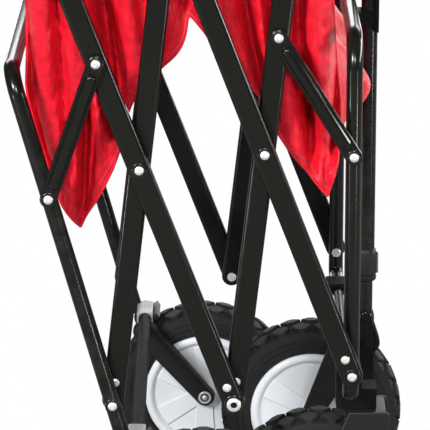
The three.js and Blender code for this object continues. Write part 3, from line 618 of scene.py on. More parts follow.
def rear_arch():
    """The bent tube of the rear frame."""
    arch = Shape()
    corners = ((REAR_FOOT, -1), (REAR_TOP, -1), (REAR_TOP, 1), (REAR_FOOT, 1))
    sweep(arch, bent([place(p, s * REAR_POST_Y) for p, s in corners], REAR_BENDS, 18), POST_RADIUS, 36)
    make("rear_arch", arch, "powder", "rear_frame", "rear_frame_tube")


def rear_lower_crossbar():
    """The bar between the feet of the rear posts, its end stoppers and the saddles over the forks."""
    bar, saddles = Shape(), Shape()
    middle = REAR_BAR - (1.4, 6.2)
    reach = REAR_POST_Y + 6  # half the bar's length
    sweep(bar, [place(middle, -reach), place(middle, reach)], BAR_RADIUS, 32)
    saddle = rectangle(middle - (8.4, 6.6), middle + (8.4, 7.0), 1.6)
    for _, side in SIDES:
        stud(bar, middle, side, reach, ((0, 0), (6.4, 0), (6.4, 0.8), (5.6, 1.6), (0, 1.8)), 32)
        plate(saddles, saddle, sided(side, REAR_MID - FORK_HALF - 3, REAR_MID + FORK_HALF - 6), 0.9)
    make("rear_lower_crossbar", bar, "matt", "rear_frame", slot="black_powder_coat")
    make("crossbar_saddles", saddles, "saddle", "rear_frame")


def front_loop():
    """The closed tube of the front frame; its path starts and ends in the middle of the lower crossbar."""
    loop = Shape()
    low, high, _, _ = box_mm("front_frame_tube")
    x, y = FRONT_END[0], FRONT_POST_Y
    z0, z1 = low.z + POST_RADIUS, high.z - POST_RADIUS
    corners = [(x, 0, z0), (x, -y, z0), (x, -y, z1), (x, y, z1), (x, y, z0), (x, 1, z0)]
    sweep(loop, bent(corners, FRONT_BENDS)[:-1], POST_RADIUS, 36, loop=True)
    make("front_loop", loop, "powder", "front_frame", "front_frame_tube")


class WAGON_OT_frames(bpy.types.Operator):
    """Builds the rear arch with its lower crossbar and the front loop"""

    bl_idname = "wagon.end_frames"
    bl_label = "End frames"

    def execute(self, context):
        rear_arch()
        rear_lower_crossbar()
        front_loop()
        return {"FINISHED"}


LINKS = (
    ("rear", REAR_LINK_FOOT, REAR_ARM, REAR_POST_Y + POST_RADIUS + RUN),
    ("front", FRONT_LINK_FOOT, FRONT_ARM, FRONT_POST_Y + POST_RADIUS + RUN),
)
LINK_RADIUS = 8
LINK_EYE = 3.2  # thickness of a link's flat eyes
RIB_FROM = 15  # from the pivots of a link to the centres of its rib's round ends
RIB_RADIUS = 5.2


class WAGON_OT_links(bpy.types.Operator):
    """Builds the four pressed end links: flat eyes and a raised round rib"""

    bl_idname = "wagon.end_links"
    bl_label = "End links"

    def execute(self, context):
        for (end, foot, arm, start), (label, side) in product(LINKS, SIDES):
            inward = unit(arm - foot) * RIB_FROM
            shape = Shape()
            eyes = strap(foot, arm, LINK_RADIUS, LINK_RADIUS, 16)
            plate(shape, eyes, sided(side, start, start + LINK_EYE), 1.1)
            rib = strap(foot + inward, arm - inward, RIB_RADIUS, RIB_RADIUS, 12)
            plate(shape, rib, sided(side, start + 0.2, start + 8), 4.1, steps=8)
            make(f"{end}_link_{label}_strap", shape, "powder", f"{end}_links", f"{end}_link_{label}")
        return {"FINISHED"}


PIVOTS = (
    ("rear_crossing", REAR_CROSS, INNER_BACK, OUTER_FACE, "scissor_2"),
    ("front_crossing", FRONT_CROSS, INNER_BACK, OUTER_FACE, "scissor_3"),
    ("low_centre", LOW_PIVOT, INNER_BACK, OUTER_FACE, "scissor_4"),
    ("top_centre", TOP_PIVOT, INNER_BACK, OUTER_FACE, "scissor_3"),
    ("rear_end", REAR_END, INNER_BACK, REAR_POST_Y + POST_RADIUS, "rear_frame"),
    ("front_end", FRONT_END, FRONT_POST_Y - POST_RADIUS, OUTER_FACE, "front_frame"),
)
HEAD_RISE = 2.2
LOW_RISE = 1.4  # of the plug rivets that sit between the tubes


def pivot_rivets(rings, ring_height):
    """A rivet at every pivot: its head, shank and tail, and a spacer where it joins two tubes; gives black
    discs that are painted shade in the low centre holes.
    """
    painted_hole_shade = Shape()
    for (name, spot, start, end, body), (label, side) in product(PIVOTS, SIDES):
        shape = Shape()
        wide_hole = name == "low_centre"
        radius, hole, depth = (6.8, 3.2, 2.0) if wide_hole else (RIVET_HEAD, 0.9, 0.25)
        floor = head(shape, spot, side, end + RUN, radius, HEAD_RISE, hole, depth)
        shank = end - start + 2 * RUN
        tail = ((0, -1.8), (4.1, -1.8), (4.7, -1.2), (4.7, 0), (3, 0), (3, shank), (0, shank))
        stud(shape, spot, side, start - RUN, tail)
        if body.startswith("scissor"):
            rod(shape, spot, side, 0, 6.7, INNER_FACE + RUN, OUTER_BACK - RUN)
        make(f"rivet_{name}_{label}_head", shape, "steel", body, f"rivet_{name}_{label}")
        ring_round(rings[body], spot, side, end, radius + 0.4, radius + 2.5, ring_height)
        if wide_hole:
            # painted shade: a black disc on the floor of the low centre rivet's hole
            rod(painted_hole_shade, spot, side, floor, hole * 0.98, -0.5, 0.15, 20)
    return painted_hole_shade


def plug_rivets(plugs):
    """The rivet that holds the plug in the foot of each tube."""
    for (foot, top, plane, body), (_, side) in product(TUBES.values(), SIDES):
        spot = foot + unit(top - foot) * SECOND_RIVET
        rise = HEAD_RISE if plane == OUTER_PLANE else LOW_RISE
        head(plugs[body], spot, side, plane + TUBE_DEEP / 2 - 0.1, RIVET_HEAD * 0.94, rise, 0.9, 0.2)


def link_rivets(plugs, rings, ring_height):
    """The heads of the pins at both ends of the end links."""
    for (end, foot, arm, start), (_, side), at_arm in product(LINKS, SIDES, (False, True)):
        body, face, spot = f"{end}_links", start + LINK_EYE, arm if at_arm else foot
        head(plugs[body], spot, side, face - 0.1, RIVET_HEAD, HEAD_RISE, 0.9, 0.25)
        ring_round(rings[body], spot, side, face, 5.1, 6.6, ring_height * 0.8)


class WAGON_OT_rivets(bpy.types.Operator):
    """Builds the rivets of every pivot, the plug rivets and the rings they sit on"""

    bl_idname = "wagon.rivets"
    bl_label = "Rivets"

    def execute(self, context):
        ring_height = context.scene.wagon_metal.washer_height * METRE
        rings, plugs = defaultdict(Shape), defaultdict(Shape)
        painted_hole_shade = pivot_rivets(rings, ring_height)
        plug_rivets(plugs)
        link_rivets(plugs, rings, ring_height)
        for body, shape in plugs.items():
            make(f"set_rivets_{body}", shape, "steel", body)
        for body, shape in rings.items():
            make(f"rivet_rings_{body}", shape, "powder", body)
        # black discs of painted shade in the low centre rivet holes
        make("low_centre_hollows", painted_hole_shade, "matt", "scissor_4", slot="zinc_steel")
        return {"FINISHED"}


# ---- forks and wheels ---------------------------------------------------------------------------
REAR_AXLE = flat("rear_wheel_spin_left")
FRONT_AXLE = flat("front_wheel_spin_left")
REAR_MID = JOINT_AT["rear_wheel_spin_left"].y * METRE
FRONT_MID = JOINT_AT["front_wheel_spin_left"].y * METRE
SWIVEL_X = JOINT_AT["caster_swivel_left"].x * METRE
FORK_HALF = 22.5  # from a wheel's middle plane to the inner face of a fork leg
LEG = 3.5
ROOF_HALF = FORK_HALF + 0.5  # a fork's web and roof reach a little into its legs
CROWN_Z = 194.6
CROWN_RADIUS = 13  # round top of a rear fork leg
BOSS_RADIUS = 10.5  # round end of a fork leg at the axle
SWELL = 4.8  # how far a rear fork leg swells out towards the middle of the wagon
BOLT_RIM = ((0, -0.1), (6.6, -0.1), (6.8, 0.3), (6.2, 0.8), (4.9, 0.7), (4.7, 0.25), (0, 0.25))
BOLT_BUTTON = ((0, 0.2), (2.7, 0.2), (2.6, 1.1), (1.8, 1.5), (0, 1.6))


def both_legs(shape, line, mid, edge=1.2):
    for s in (-1, 1):
        plate(shape, line, (mid + s * FORK_HALF, mid + s * (FORK_HALF + LEG)), edge)


def rear_fork(label, side):
    """Two legs with swelled outer faces, a web up to the crossbar and a small pin in each leg."""
    crown = REAR_BAR + (-1, -20)
    toward = unit(REAR_BAR - REAR_AXLE)
    across = np.array((toward[1], -toward[0])) * 9
    inner, outer = 98.1, np.linalg.norm(REAR_BAR - REAR_AXLE) - BAR_RADIUS
    ends = ((outer, -1), (outer, 1), (inner, 1), (inner, -1))
    web = [REAR_AXLE + toward * r + across * s for r, s in ends]
    leg_swell = strap(crown, REAR_AXLE - toward * 0.5, CROWN_RADIUS - 0.4, BOSS_RADIUS - 0.4, 16)
    mid = side * REAR_MID
    legs, pins = Shape(), Shape()
    both_legs(legs, strap(crown, REAR_AXLE, CROWN_RADIUS, BOSS_RADIUS, 16), mid)
    plate(legs, web, (mid - ROOF_HALF, mid + ROOF_HALF), 0.8)
    for s in (-1, 1):
        face = mid + s * (FORK_HALF + LEG)
        swell, edge = (SWELL, 4.6) if s * side < 0 else (1.6, 1.4)
        plate(legs, leg_swell, (face - s * 6.5, face + s * swell), edge, steps=9)
        pin = ((0, -0.2), (1.9, -0.2), (1.7, 0.7), (0, 1.1))
        stud(pins, crown + (-6.5, -2.0), s, FORK_HALF + LEG, pin, 20, mid)
    old = f"rear_fork_{label}"
    make(f"{old}_legs", legs, "moulded", "rear_frame", old, "black_powder_coat")
    make(f"{old}_pins", pins, "steel", "rear_frame")


def caster_fork(label, side):
    """Two raked legs under a flat roof, with the stem that swivels in the socket."""
    back, front = SWIVEL_X - 16, SWIVEL_X + 21
    half_turn = np.linspace(0, math.pi, 9)
    nose = [(front + 3.2 * math.sin(a), CROWN_Z - 11 + 11 * math.cos(a)) for a in half_turn]
    foot = arc(FRONT_AXLE, BOSS_RADIUS - 0.2, -0.4, -math.pi - 0.35, 16)
    mid = side * FRONT_MID
    legs = Shape()
    both_legs(legs, [(back, CROWN_Z), *nose, (FRONT_AXLE[0] + 9.5, FRONT_AXLE[1] - 4), *foot], mid)
    roof = rectangle((back + 0.4, mid - ROOF_HALF), (front - 1, mid + ROOF_HALF), 2)
    plate(legs, roof, (CROWN_Z - 4, CROWN_Z), 0.8, ON_TOP)
    stem = [(r, CROWN_Z + up) for r, up in ((0, -2), (5, -2), (5, 13), (4.2, 14), (0, 14))]
    lathe(legs, (SWIVEL_X, mid), stem, 28, ON_TOP)
    old = f"caster_fork_{label}"
    make(f"{old}_legs", legs, "moulded", f"caster_{label}", old)


def axle_bolt(label, side, axle, middle, body, old):
    """A bolt through a fork: its shaft, and at each end a rim, a groove and a domed button; a dark disc in
    the groove is painted shade.
    """
    mid = side * middle
    flush = FORK_HALF + LEG + RUN
    bolt, groove = Shape(), Shape()
    rod(bolt, axle, 1, 0, 4, -flush, flush, middle=mid)
    for s in (-1, 1):
        reach = flush + (SWELL if middle == REAR_MID and s * side < 0 else 0)
        stud(bolt, axle, s, reach, BOLT_RIM, 36, mid)
        stud(bolt, axle, s, reach, BOLT_BUTTON, 30, mid)
        # painted shade: a dark disc fills the groove between rim and button
        rod(groove, axle, s, reach, 4.6, 0.1, 0.38, 30, mid)
    make(f"{old}_{label}_shaft", bolt, "steel", body, f"{old}_{label}")
    make(f"{old}_{label}_groove", groove, "hollow", body)


class WAGON_OT_forks(bpy.types.Operator):
    """Builds the two rear forks and the two caster forks with their axle bolts"""

    bl_idname = "wagon.forks"
    bl_label = "Forks and axle bolts"

    def execute(self, context):
        for label, side in SIDES:
            rear_fork(label, side)
            caster_fork(label, side)
        for label, side in SIDES:
            axle_bolt(label, side, REAR_AXLE, REAR_MID, "rear_frame", "rear_axle_bolt")
            axle_bolt(label, side, FRONT_AXLE, FRONT_MID, f"caster_{label}", "caster_axle_bolt")
        return {"FINISHED"}


WHEEL_RADIUS = 94.1
TYRE_HALF = 21
TYRE_WALL = (
    (64.2, 16.5), (66, 19.6), (69, 20.6), (71, 20.7), (71.8, 20.1),
    (73, 20.9), (77, 21), (78, 20.3), (79, 20.9), (84, 20.4),
)
HUB_FACE = (
    (4.4, 21.8), (11.5, 21.8), (12.6, 21.0), (13.4, 15.5), (15.0, 14.2), (50.5, 14.2),
    (53.0, 14.9), (56.2, 18.6), (57.6, 19.4), (60.0, 19.4), (61.8, 18.6), (63.4, 17.0),
)
BLOCK = ((-0.62, 10.0), (-0.2, 19.2), (0.2, 19.2), (0.62, 10.0), (0.24, 2.6), (-0.24, 2.6))
SPOKE = ((11, -8.5), (52, -11.5), (52, 11.5), (11, 8.5))  # along and across a spoke
SPOKES = 6
SPOKE_FACES = (12, 16.4)  # from the wheel's middle plane


def mirrored(half):
    """A closed outline of radii and distances from a wheel's middle plane, from one half of it."""
    return [(r, -y) for r, y in half] + [(r, y) for r, y in reversed(half) if y] + [(half[0][0], -half[0][1])]


def tread(shape, centre, mid, count, height):
    """Two rows of lozenge blocks, half a pitch apart."""
    step = 2 * math.pi / count
    for (row, side), k in product(enumerate((-1, 1)), range(count)):
        rings = []
        for lift, shrink in ((-1.2, 1.0), (height * 0.75, 0.97), (height, 0.86)):
            ring = []
            for a, y in BLOCK:
                angle = (k + 0.5 * row) * step + a * step * 0.8 * shrink
                across = side * (10.8 + (y - 10.8) * shrink)
                r = WHEEL_RADIUS - height - 2.6 * (abs(across) / TYRE_HALF) ** 3 + lift
                ring.append((centre[0] + r * math.cos(angle), mid + across, centre[1] + r * math.sin(angle)))
            rings.append(ring)
        shape.skin(rings)


def tyre(wheel, axle, mid, blocks, block_height):
    """A treaded tyre, its carcass turned from the wall and the crown."""
    shape = Shape()
    top = WHEEL_RADIUS - block_height
    crown = ((top - 3.2, 19.2), (top - 2.0, 17.6), (top - 0.7, 13), (top, 6), (top, 0))
    stud(shape, axle, 1, 0, mirrored(TYRE_WALL + crown), 96, mid, closed=False)
    tread(shape, axle, mid, blocks, block_height)
    old = wheel.replace("wheel", "tyre")
    make(f"{old}_tread", shape, "rubber", wheel, old, sharp=32)


def hub(wheel, axle, mid):
    """A dished hub with flat spokes on both faces."""
    shape = Shape()
    stud(shape, axle, 1, 0, mirrored(HUB_FACE), 72, mid, closed=False)
    for k, s in product(range(SPOKES), (-1, 1)):
        a = 2 * math.pi * (k + 0.5) / SPOKES
        out, wide = np.array((math.cos(a), math.sin(a))), np.array((-math.sin(a), math.cos(a)))
        line = [axle + out * r + wide * w for r, w in SPOKE]
        plate(shape, line, [mid + s * y for y in SPOKE_FACES], 1.2)
    old = wheel.replace("wheel", "hub")
    make(f"{old}_dish", shape, "hub", wheel, old, sharp=32)


class WAGON_OT_wheels(bpy.types.Operator):
    """Builds the four wheels: treaded tyres on spoked plastic hubs"""

    bl_idname = "wagon.wheels"
    bl_label = "Wheels"

    def execute(self, context):
        setting = context.scene.wagon_wheels
        ends = (("rear", REAR_AXLE, REAR_MID), ("front", FRONT_AXLE, FRONT_MID))
        for (label, side), (end, axle, middle) in product(SIDES, ends):
            wheel = f"{end}_wheel_{label}"
            tyre(wheel, axle, side * middle, setting.blocks, setting.block_height * METRE)
            hub(wheel, axle, side * middle)
        return {"FINISHED"}


# ---- handle -------------------------------------------------------------------------------------
HANDLE_X, HANDLE_Z = flat("handle_fold")
STEM_HALF = (6.6, 6.2)  # half sizes along X and Y
SLEEVE_HALF_Y = 7.8
GRIP_BENDS = (20, 22, 22, 20, 12)


def box_mm(name):
    """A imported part's lowest and highest corner, its middle along X and half its size along X."""
    low, high = (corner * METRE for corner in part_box(name))
    return low, high, (low.x + high.x) / 2, (high.x - low.x) / 2


def oval(half_x, half_y, power=2.6, count=48):
    """A rounded box outline, one quarter the same as the next."""
    return [
        tuple(half * math.copysign(abs(c) ** (2 / power), c) for half, c in ((half_x, u), (half_y, v)))
        for u, v in circle(1, count)
    ]


def upright(shape, x, sections):
    """A body skinned up through sections of height and of half sizes along X and Y."""
    shape.skin([[(x + a, b, z) for a, b in oval(half_x, half_y)] for z, half_x, half_y in sections])


def pull_stem(x):
    """The lower stem with the two cheeks that turn on the bracket's pin."""
    stem = Shape()
    cheek = strap((HANDLE_X, HANDLE_Z), (x, HANDLE_Z + 26), 12, 6.4)
    for s in (-1, 1):
        plate(stem, cheek, (s * 3.2, s * 7.4), 1.4)
    top = box_mm("handle_stem")[1].z
    sections = ((HANDLE_Z + 14, 0), (top - 1, 0), (top, 0.6))
    upright(stem, x, [(z, STEM_HALF[0] - less, STEM_HALF[1] - less) for z, less in sections])
    make("pull_stem", stem, "powder", "handle_lower", "handle_stem")


def pull_sleeve():
    """The outer tube that slides on the stem."""
    sleeve = Shape()
    low, high, x, half = box_mm("handle_sleeve")
    ends = ((low.z, 0.6), (low.z + 0.6, 0), (high.z - 0.6, 0), (high.z, 0.6))
    upright(sleeve, x, [(z, half - less, SLEEVE_HALF_Y - less) for z, less in ends])
    make("pull_sleeve", sleeve, "powder", "handle_upper", "handle_sleeve")


def slide_collar():
    """The collar at the sleeve's foot, with a groove near its lower end."""
    collar = Shape()
    low, high, x, half = box_mm("handle_collar")
    wide = (high.y - low.y) / 2
    rises = ((0, 1.6), (1.2, 0.3), (2.4, 0), (5, 0), (5.6, 0.7), (6.6, 0.7), (7.2, 0))
    steps = [(low.z + up, less) for up, less in rises]
    steps += [(high.z - down, less) for down, less in ((4, 0), (1.5, 0.8), (0, 2.2))]
    upright(collar, x, [(z, half - less, wide - less) for z, less in steps])
    make("slide_collar", collar, "moulded", "handle_upper", "handle_collar")


def slide_button():
    """The latch button on the collar's front."""
    button = Shape()
    low, high, _, _ = box_mm("latch_button")
    plate(button, rectangle(low.yz, high.yz, 3.2, 6), (low.x, high.x), 0.9, ON_FRONT, 5)
    make("slide_button", button, "button", "latch", "latch_button")


def hand_loop():
    """The D-shaped grip: a bent bar that closes in a throat at the sleeve's top."""
    grip = Shape()
    low, high, x, bar = box_mm("handle_grip")
    foot, shoulder, top = low.z + 16, low.z + 44, high.z - bar
    left, right = low.y + bar, high.y - bar
    corners = ((-13, foot), (2 - right, shoulder), (left, top), (right, top), (right - 2, shoulder))
    path = bent([(x, y, z) for y, z in (*corners, (13, foot), (0, foot - 4))], GRIP_BENDS, 10)
    sweep(grip, path[:-1], bar * 0.9, 28, loop=True)
    throat = ((0, 0.82, 8.6), (1.5, 0.9, 10), (16, 0.98, 15), (25, 0.9, 16), (30, 0.5, 10))
    upright(grip, x, [(low.z + up, bar * share, half_y) for up, share, half_y in throat])
    make("hand_loop", grip, "moulded", "handle_upper", "handle_grip")


def keeper_clip(x):
    """The clip that holds the raised handle: a ring round the crossbar, a body and two arms with lips."""
    clip = Shape()
    low, high, _, _ = box_mm("handle_keeper")
    ring = ((0, -6), (9.4, -6), (9.9, -5.5), (9.9, 5.5), (9.4, 6), (0, 6))
    stud(clip, (FRONT_END[0], high.z - 11), 1, 0, ring, 32)
    back, front = x - 15.0, high.x - 0.3
    foot, top = low.z + 7, low.z + 21.5
    plate(clip, rectangle((back - 5, top - 1), (back + 0.6, high.z - 17), 0.8, 3), (-6, 6), 0.5)
    plate(clip, rectangle((back, foot), (x - 8.3, top), 0.8, 3), (-12, 12), 0.6)
    for s in (-1, 1):
        plate(clip, rectangle((back, foot), (front - 0.4, top), 1.0, 3), (s * 8.4, s * 12.4), 0.6)
        lip = rectangle((front - 4.2, low.z + 1), (front, low.z + 35), 1.2, 3)
        plate(clip, lip, (s * 8.6, s * 12.9), 0.8)
    make("keeper_clip", clip, "matt", "front_frame", "handle_keeper")


class WAGON_OT_handle(bpy.types.Operator):
    """Builds the pull handle: fork end, stem, sleeve, locking collar, button, hand loop and keeper"""

    bl_idname = "wagon.pull_handle"
    bl_label = "Pull handle"

    def execute(self, context):
        x = box_mm("handle_sleeve")[2]
        pull_stem(x)
        pull_sleeve()
        slide_collar()
        slide_button()
        hand_loop()
        keeper_clip(x)
        return {"FINISHED"}


class WAGON_OT_carried(bpy.types.Operator):
    """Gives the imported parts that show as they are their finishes"""

    bl_idname = "wagon.carried_parts"
    bl_label = "Carried parts"

    def execute(self, context):
        for name, slot in (
            ("caster_socket_left", "black_powder_coat"),
            ("caster_socket_right", "black_powder_coat"),
            ("handle_bracket", "black_powder_coat"),
            ("handle_pivot_pin", "zinc_steel"),
        ):
            part = bpy.data.objects[name]
            part.data.materials.clear()
            part.data.materials.append(FINISH["matt"])
        return {"FINISHED"}


# ---- bag ----------------------------------------------------------------------------------------
SIDE_Y = 179  # plane of the bag's sides, out from the wagon's middle plane
OUTWARD_LIMIT = 7.0  # how far a fold may stand out towards the tubes
HEM_HOLD = 0.4  # share of a fold's depth that is left at the hem
HEM_ROWS = 16  # rows over which the folds come in above the hem
SEAM_OFF = 22  # from a centre tube's line to the seam beside it
FLOOR_ROWS = 72
SIDE_ROWS = 88
SIDE_COLUMNS = (50, 64, 54)  # of the rear, middle and front cloth
HUB = TOP_PIVOT - (0, 16)
FRONT_TOP = np.array((FRONT_END[0], 566))


def on_tube(foot, axis, z):
    return foot + axis * ((z - foot[1]) / axis[1])


def eased(points, rounds=2):
    """A polyline with its corners cut, its ends kept."""
    p = [np.array(q, float) for q in points]
    for _ in range(rounds):
        cut = [p[0]]
        for a, b in zip(p, p[1:]):
            cut += [a * 0.75 + b * 0.25, a * 0.25 + b * 0.75]
        p = cut + [p[-1]]
    return p


def hung(points, sag=8, per=8):
    """The rim between its supports, a little slack between each two."""
    line = []
    for a, b in zip(points, points[1:]):
        for t in np.linspace(0, 1, per + 1)[:-1]:
            line.append(a + (b - a) * t - np.array((0, 4 * sag * t * (1 - t))))
    return line + [points[-1]]


def beside(foot, axis, shift):
    """How far a point is in front of a line beside a tube."""
    return lambda p: p[0] - on_tube(foot, axis, p[1])[0] - shift


def cut_at(line, gap, last=False):
    """A polyline in two, where gap changes sign; the two parts share the cut."""
    value = [gap(p) for p in line]
    found = [i for i in range(len(line) - 1) if value[i] < 0 <= value[i + 1]]
    i = found[-1 if last else 0]
    t = value[i] / (value[i] - value[i + 1])
    spot = line[i] + (line[i + 1] - line[i]) * t
    return line[: i + 1] + [spot], [spot] + line[i + 1 :]


def read(line, t):
    """Points of a polyline at shares t of its length."""
    p = np.array(line, float)
    step = np.linalg.norm(np.diff(p, axis=0), axis=1)
    share = np.concatenate(((0,), np.cumsum(step))) / step.sum()
    return np.stack([np.interp(t, share, p[:, k]) for k in range(p.shape[1])], -1)


def coons(left, right, low, high, columns, rows):
    """A patch between four lines that meet at its corners."""
    s = np.linspace(0, 1, columns)[:, None, None]
    t = np.linspace(0, 1, rows)[None, :, None]
    a, b = read(left, t.ravel())[None], read(right, t.ravel())[None]
    c, d = read(low, s.ravel())[:, None], read(high, s.ravel())[:, None]
    flat_part = (1 - s) * ((1 - t) * c[0, 0] + t * d[0, 0]) + s * ((1 - t) * c[-1, 0] + t * d[-1, 0])
    return (1 - s) * a + s * b + (1 - t) * c + t * d - flat_part


def bag_outline():
    """The side of the bag at rest as one grid, and its columns at the ends and the two seams."""
    steps = ((14.8, 163), (0.4, 206), (1.6, 296), (11.4, 326), (35, 408))
    rear_edge = [REAR_END + ACROSS * a + POST_AXIS * u for a, u in steps]
    front_edge = [FRONT_TOP + d for d in ((-23, -153), (-12, -118), (-10, -66), (-16, -26), (-21, 49))]
    seam_foot = TOP_PIVOT[1] - 163.3
    under_hub = ((-2.7, -148), (9, -136.4), (14.5, -121.4), (16.4, -101.4), (26.5, -110.8))
    hem = [
        rear_edge[0],
        REAR_CROSS + (-20, 0),
        REAR_CROSS + (-11, 53),
        on_tube(REAR_END, FORE_AXIS, seam_foot),
        *(TOP_PIVOT + d for d in under_hub),
        on_tube(FRONT_END, BACK_AXIS, seam_foot),
        FRONT_CROSS + (-4, 50),
        FRONT_CROSS + (14, 6),
        front_edge[0],
    ]
    rear_post_top = REAR_CROSS + BACK_AXIS * FREE_END + (-4, 8)
    front_post_top = FRONT_CROSS + FORE_AXIS * FREE_END + (3, 8)
    rim = hung([rear_edge[-1], rear_post_top, HUB, front_post_top, front_edge[-1]])
    behind = beside(REAR_END, FORE_AXIS, -SEAM_OFF)
    before = beside(FRONT_END, BACK_AXIS, SEAM_OFF)
    hem_rear, rest = cut_at(eased(hem), behind)
    hem_mid, hem_front = cut_at(rest, before, True)
    rim_rear, rest = cut_at(rim, behind)
    rim_mid, rim_front = cut_at(rest, before)
    seam_rear = [hem_rear[-1], rim_rear[-1]]
    seam_front = [hem_front[0], rim_front[0]]
    edges = (eased(rear_edge), seam_rear, seam_front, eased(front_edge))
    hems, rims = (hem_rear, hem_mid, hem_front), (rim_rear, rim_mid, rim_front)
    patches = [
        coons(*lines, count, SIDE_ROWS) for *lines, count in zip(edges, edges[1:], hems, rims, SIDE_COLUMNS)
    ]
    seams = np.cumsum((0, *(count - 1 for count in SIDE_COLUMNS)))
    return np.concatenate((patches[0], patches[1][1:], patches[2][1:])), seams


# Folds of a side: a line down the cloth in X and Z, how far the fold reaches behind and before that line,
# and how far it stands out (+) or in (-).
FOLDS = (
    (((-164, 640), (-161, 560), (-157, 500), (-149, 450), (-138, 408)), 6, 9, 7),
    (((-176, 600), (-170, 530), (-167, 490), (-158, 450), (-145, 420)), 6, 5, -18),
    (((-147, 630), (-144, 540), (-139, 480), (-135, 430)), 4, 6, -8),
    (((-136, 640), (-133, 540), (-128, 470), (-126, 440)), 6, 7, 6),
    (((-121, 500), (-122, 450), (-123, 410), (-126, 380)), 4, 8, -30),
    (((-110, 500), (-109, 450), (-114, 410)), 6, 7, 7),
    (((-114, 670), (-108, 610), (-101, 560), (-97, 520), (-95, 480)), 7, 10, -34),
    (((-88, 670), (-82, 600), (-79, 540), (-82, 490)), 6, 8, 7),
    (((-72, 640), (-66, 560)), 5, 5, -9),
    (((-50, 670), (-43, 600), (-39, 560)), 6, 7, 5),
    (((-32, 660), (-28, 600)), 4, 5, -10),
    (((-4, 660), (6, 600), (16, 560), (32, 520)), 5, 6, 6),
    (((20, 660), (25, 600), (32, 560), (42, 515)), 4, 7, -24),
    (((36, 660), (38, 600), (43, 560), (50, 510)), 5, 5, 5),
    (((52, 660), (49, 600), (52, 540)), 4, 4, -14),
    (((64, 640), (62, 560), (64, 500), (70, 455)), 6, 7, 5),
    (((78, 650), (75, 590), (76, 550)), 4, 6, -18),
    (((94, 640), (91, 570), (95, 500), (100, 450)), 9, 9, 7),
    (((81, 540), (85, 505), (88, 470), (88, 440)), 6, 8, -32),
    (((115, 590), (113, 540), (112, 490), (108, 450)), 6, 9, -26),
    (((101, 460), (102, 420)), 3, 3, -6),
)


def cloud(u, v, seed):
    """Smooth noise over two arrays of one shape."""
    return np.reshape([noise.noise(Vector((a, b, seed))) for a, b in zip(u.ravel(), v.ravel())], u.shape)


def smooth(t):
    t = np.clip(t, 0, 1)
    return t * t * (3 - 2 * t)


def fold_field(x, z, seed, depth):
    """How far the cloth of a side stands out from its plane."""
    out = np.zeros_like(x)
    fade = 22.0  # a fold dies out over twice this length at each end
    for k, (line, behind, before, amount) in enumerate(FOLDS):
        p = np.array(sorted(line, key=lambda q: q[1]), float)
        shift = 4.0 * noise.noise(Vector((k * 1.7, seed, 0.3))) if seed else 0.0
        away = x - np.interp(z, p[:, 1], p[:, 0]) - shift
        wide = np.where(away < 0, behind, before)
        window = smooth((z - p[0, 1] + fade) / (2 * fade)) * smooth((p[-1, 1] + fade - z) / (2 * fade))
        out += amount * window * np.exp(-np.abs(away / wide) ** 1.7)
    broad = cloud(x / 17, z / 46, seed + 0.5)
    small = cloud((x + z * 0.35) / 6.5, (z - x * 0.5) / 11, seed + 7.5)
    tiny = cloud((x - z * 0.4) / 3.6, (z + x) / 5.2, seed + 3.5)
    out = (out + 3.5 * broad + 1.6 * small * (1 + np.abs(broad)) + 0.55 * tiny) * depth
    return np.where(out > 0, OUTWARD_LIMIT * np.tanh(out / OUTWARD_LIMIT), out)


def grid_normals(p):
    """Unit normals of a grid of points; their sense follows the grid's order."""
    n = np.cross(np.gradient(p, axis=1), np.gradient(p, axis=0))
    return n / np.maximum(np.linalg.norm(n, axis=2, keepdims=True), 1e-9)


def cloth_piece(name, points, normals, thick):
    """A closed thin sheet from a grid of its middle surface and its normals."""
    a, b = points.shape[:2]
    index = np.arange(a * b).reshape(a, b)
    corners = (index[:-1, :-1], index[:-1, 1:], index[1:, 1:], index[1:, :-1])
    quads = np.stack(corners, -1).reshape(-1, 4)
    rim = np.concatenate((index[:, 0], index[-1, 1:], index[-2::-1, -1], index[0, -2:0:-1]))
    after = np.roll(rim, -1)
    wall = np.stack((rim, after, after + a * b, rim + a * b), 1)
    skins = np.concatenate([(points + normals * half).reshape(-1, 3) for half in (thick / 2, -thick / 2)])
    mesh = bpy.data.meshes.new(name)
    faces = np.concatenate((quads, quads[:, ::-1] + a * b, wall))
    mesh.from_pydata((skins / METRE).tolist(), [], faces.tolist())
    mesh.validate()
    mesh.materials.append(FINISH["cloth"])
    mesh.shade_smooth()
    outward(mesh)
    lit = np.concatenate((normals, -normals)).reshape(-1, 3)
    mesh.normals_split_custom_set_from_vertices(lit.tolist())
    return link(name, mesh)


def stitches(shape, points, normals, every=5.2, long=3.0):
    """A row of short raised threads along a line on the cloth."""
    step = np.linalg.norm(np.diff(points, axis=0), axis=1)
    share = np.concatenate(((0,), np.cumsum(step)))

    def along(values, d):
        return np.array([np.interp(d, share, values[:, k]) for k in range(3)])

    for at in np.arange(every, share[-1] - every, every):
        start, end = along(points, at), along(points, at + long)
        n = unit(along(normals, at))
        side = np.cross(n, unit(end - start))
        rings = []
        for t, r, up in ((0.0, 0.12, 0.3), (0.2, 0.42, 0.55), (0.8, 0.42, 0.55), (1.0, 0.12, 0.3)):
            mid = start + (end - start) * t + n * up
            rings.append([tuple(mid + side * u + n * v) for u, v in circle(r, 6)])
        shape.skin(rings)


def blend_point(direction, distance):
    """A point in metres, at a distance in millimetres along a direction in the side plane."""
    return place(direction * distance / METRE, 0.0)[:]


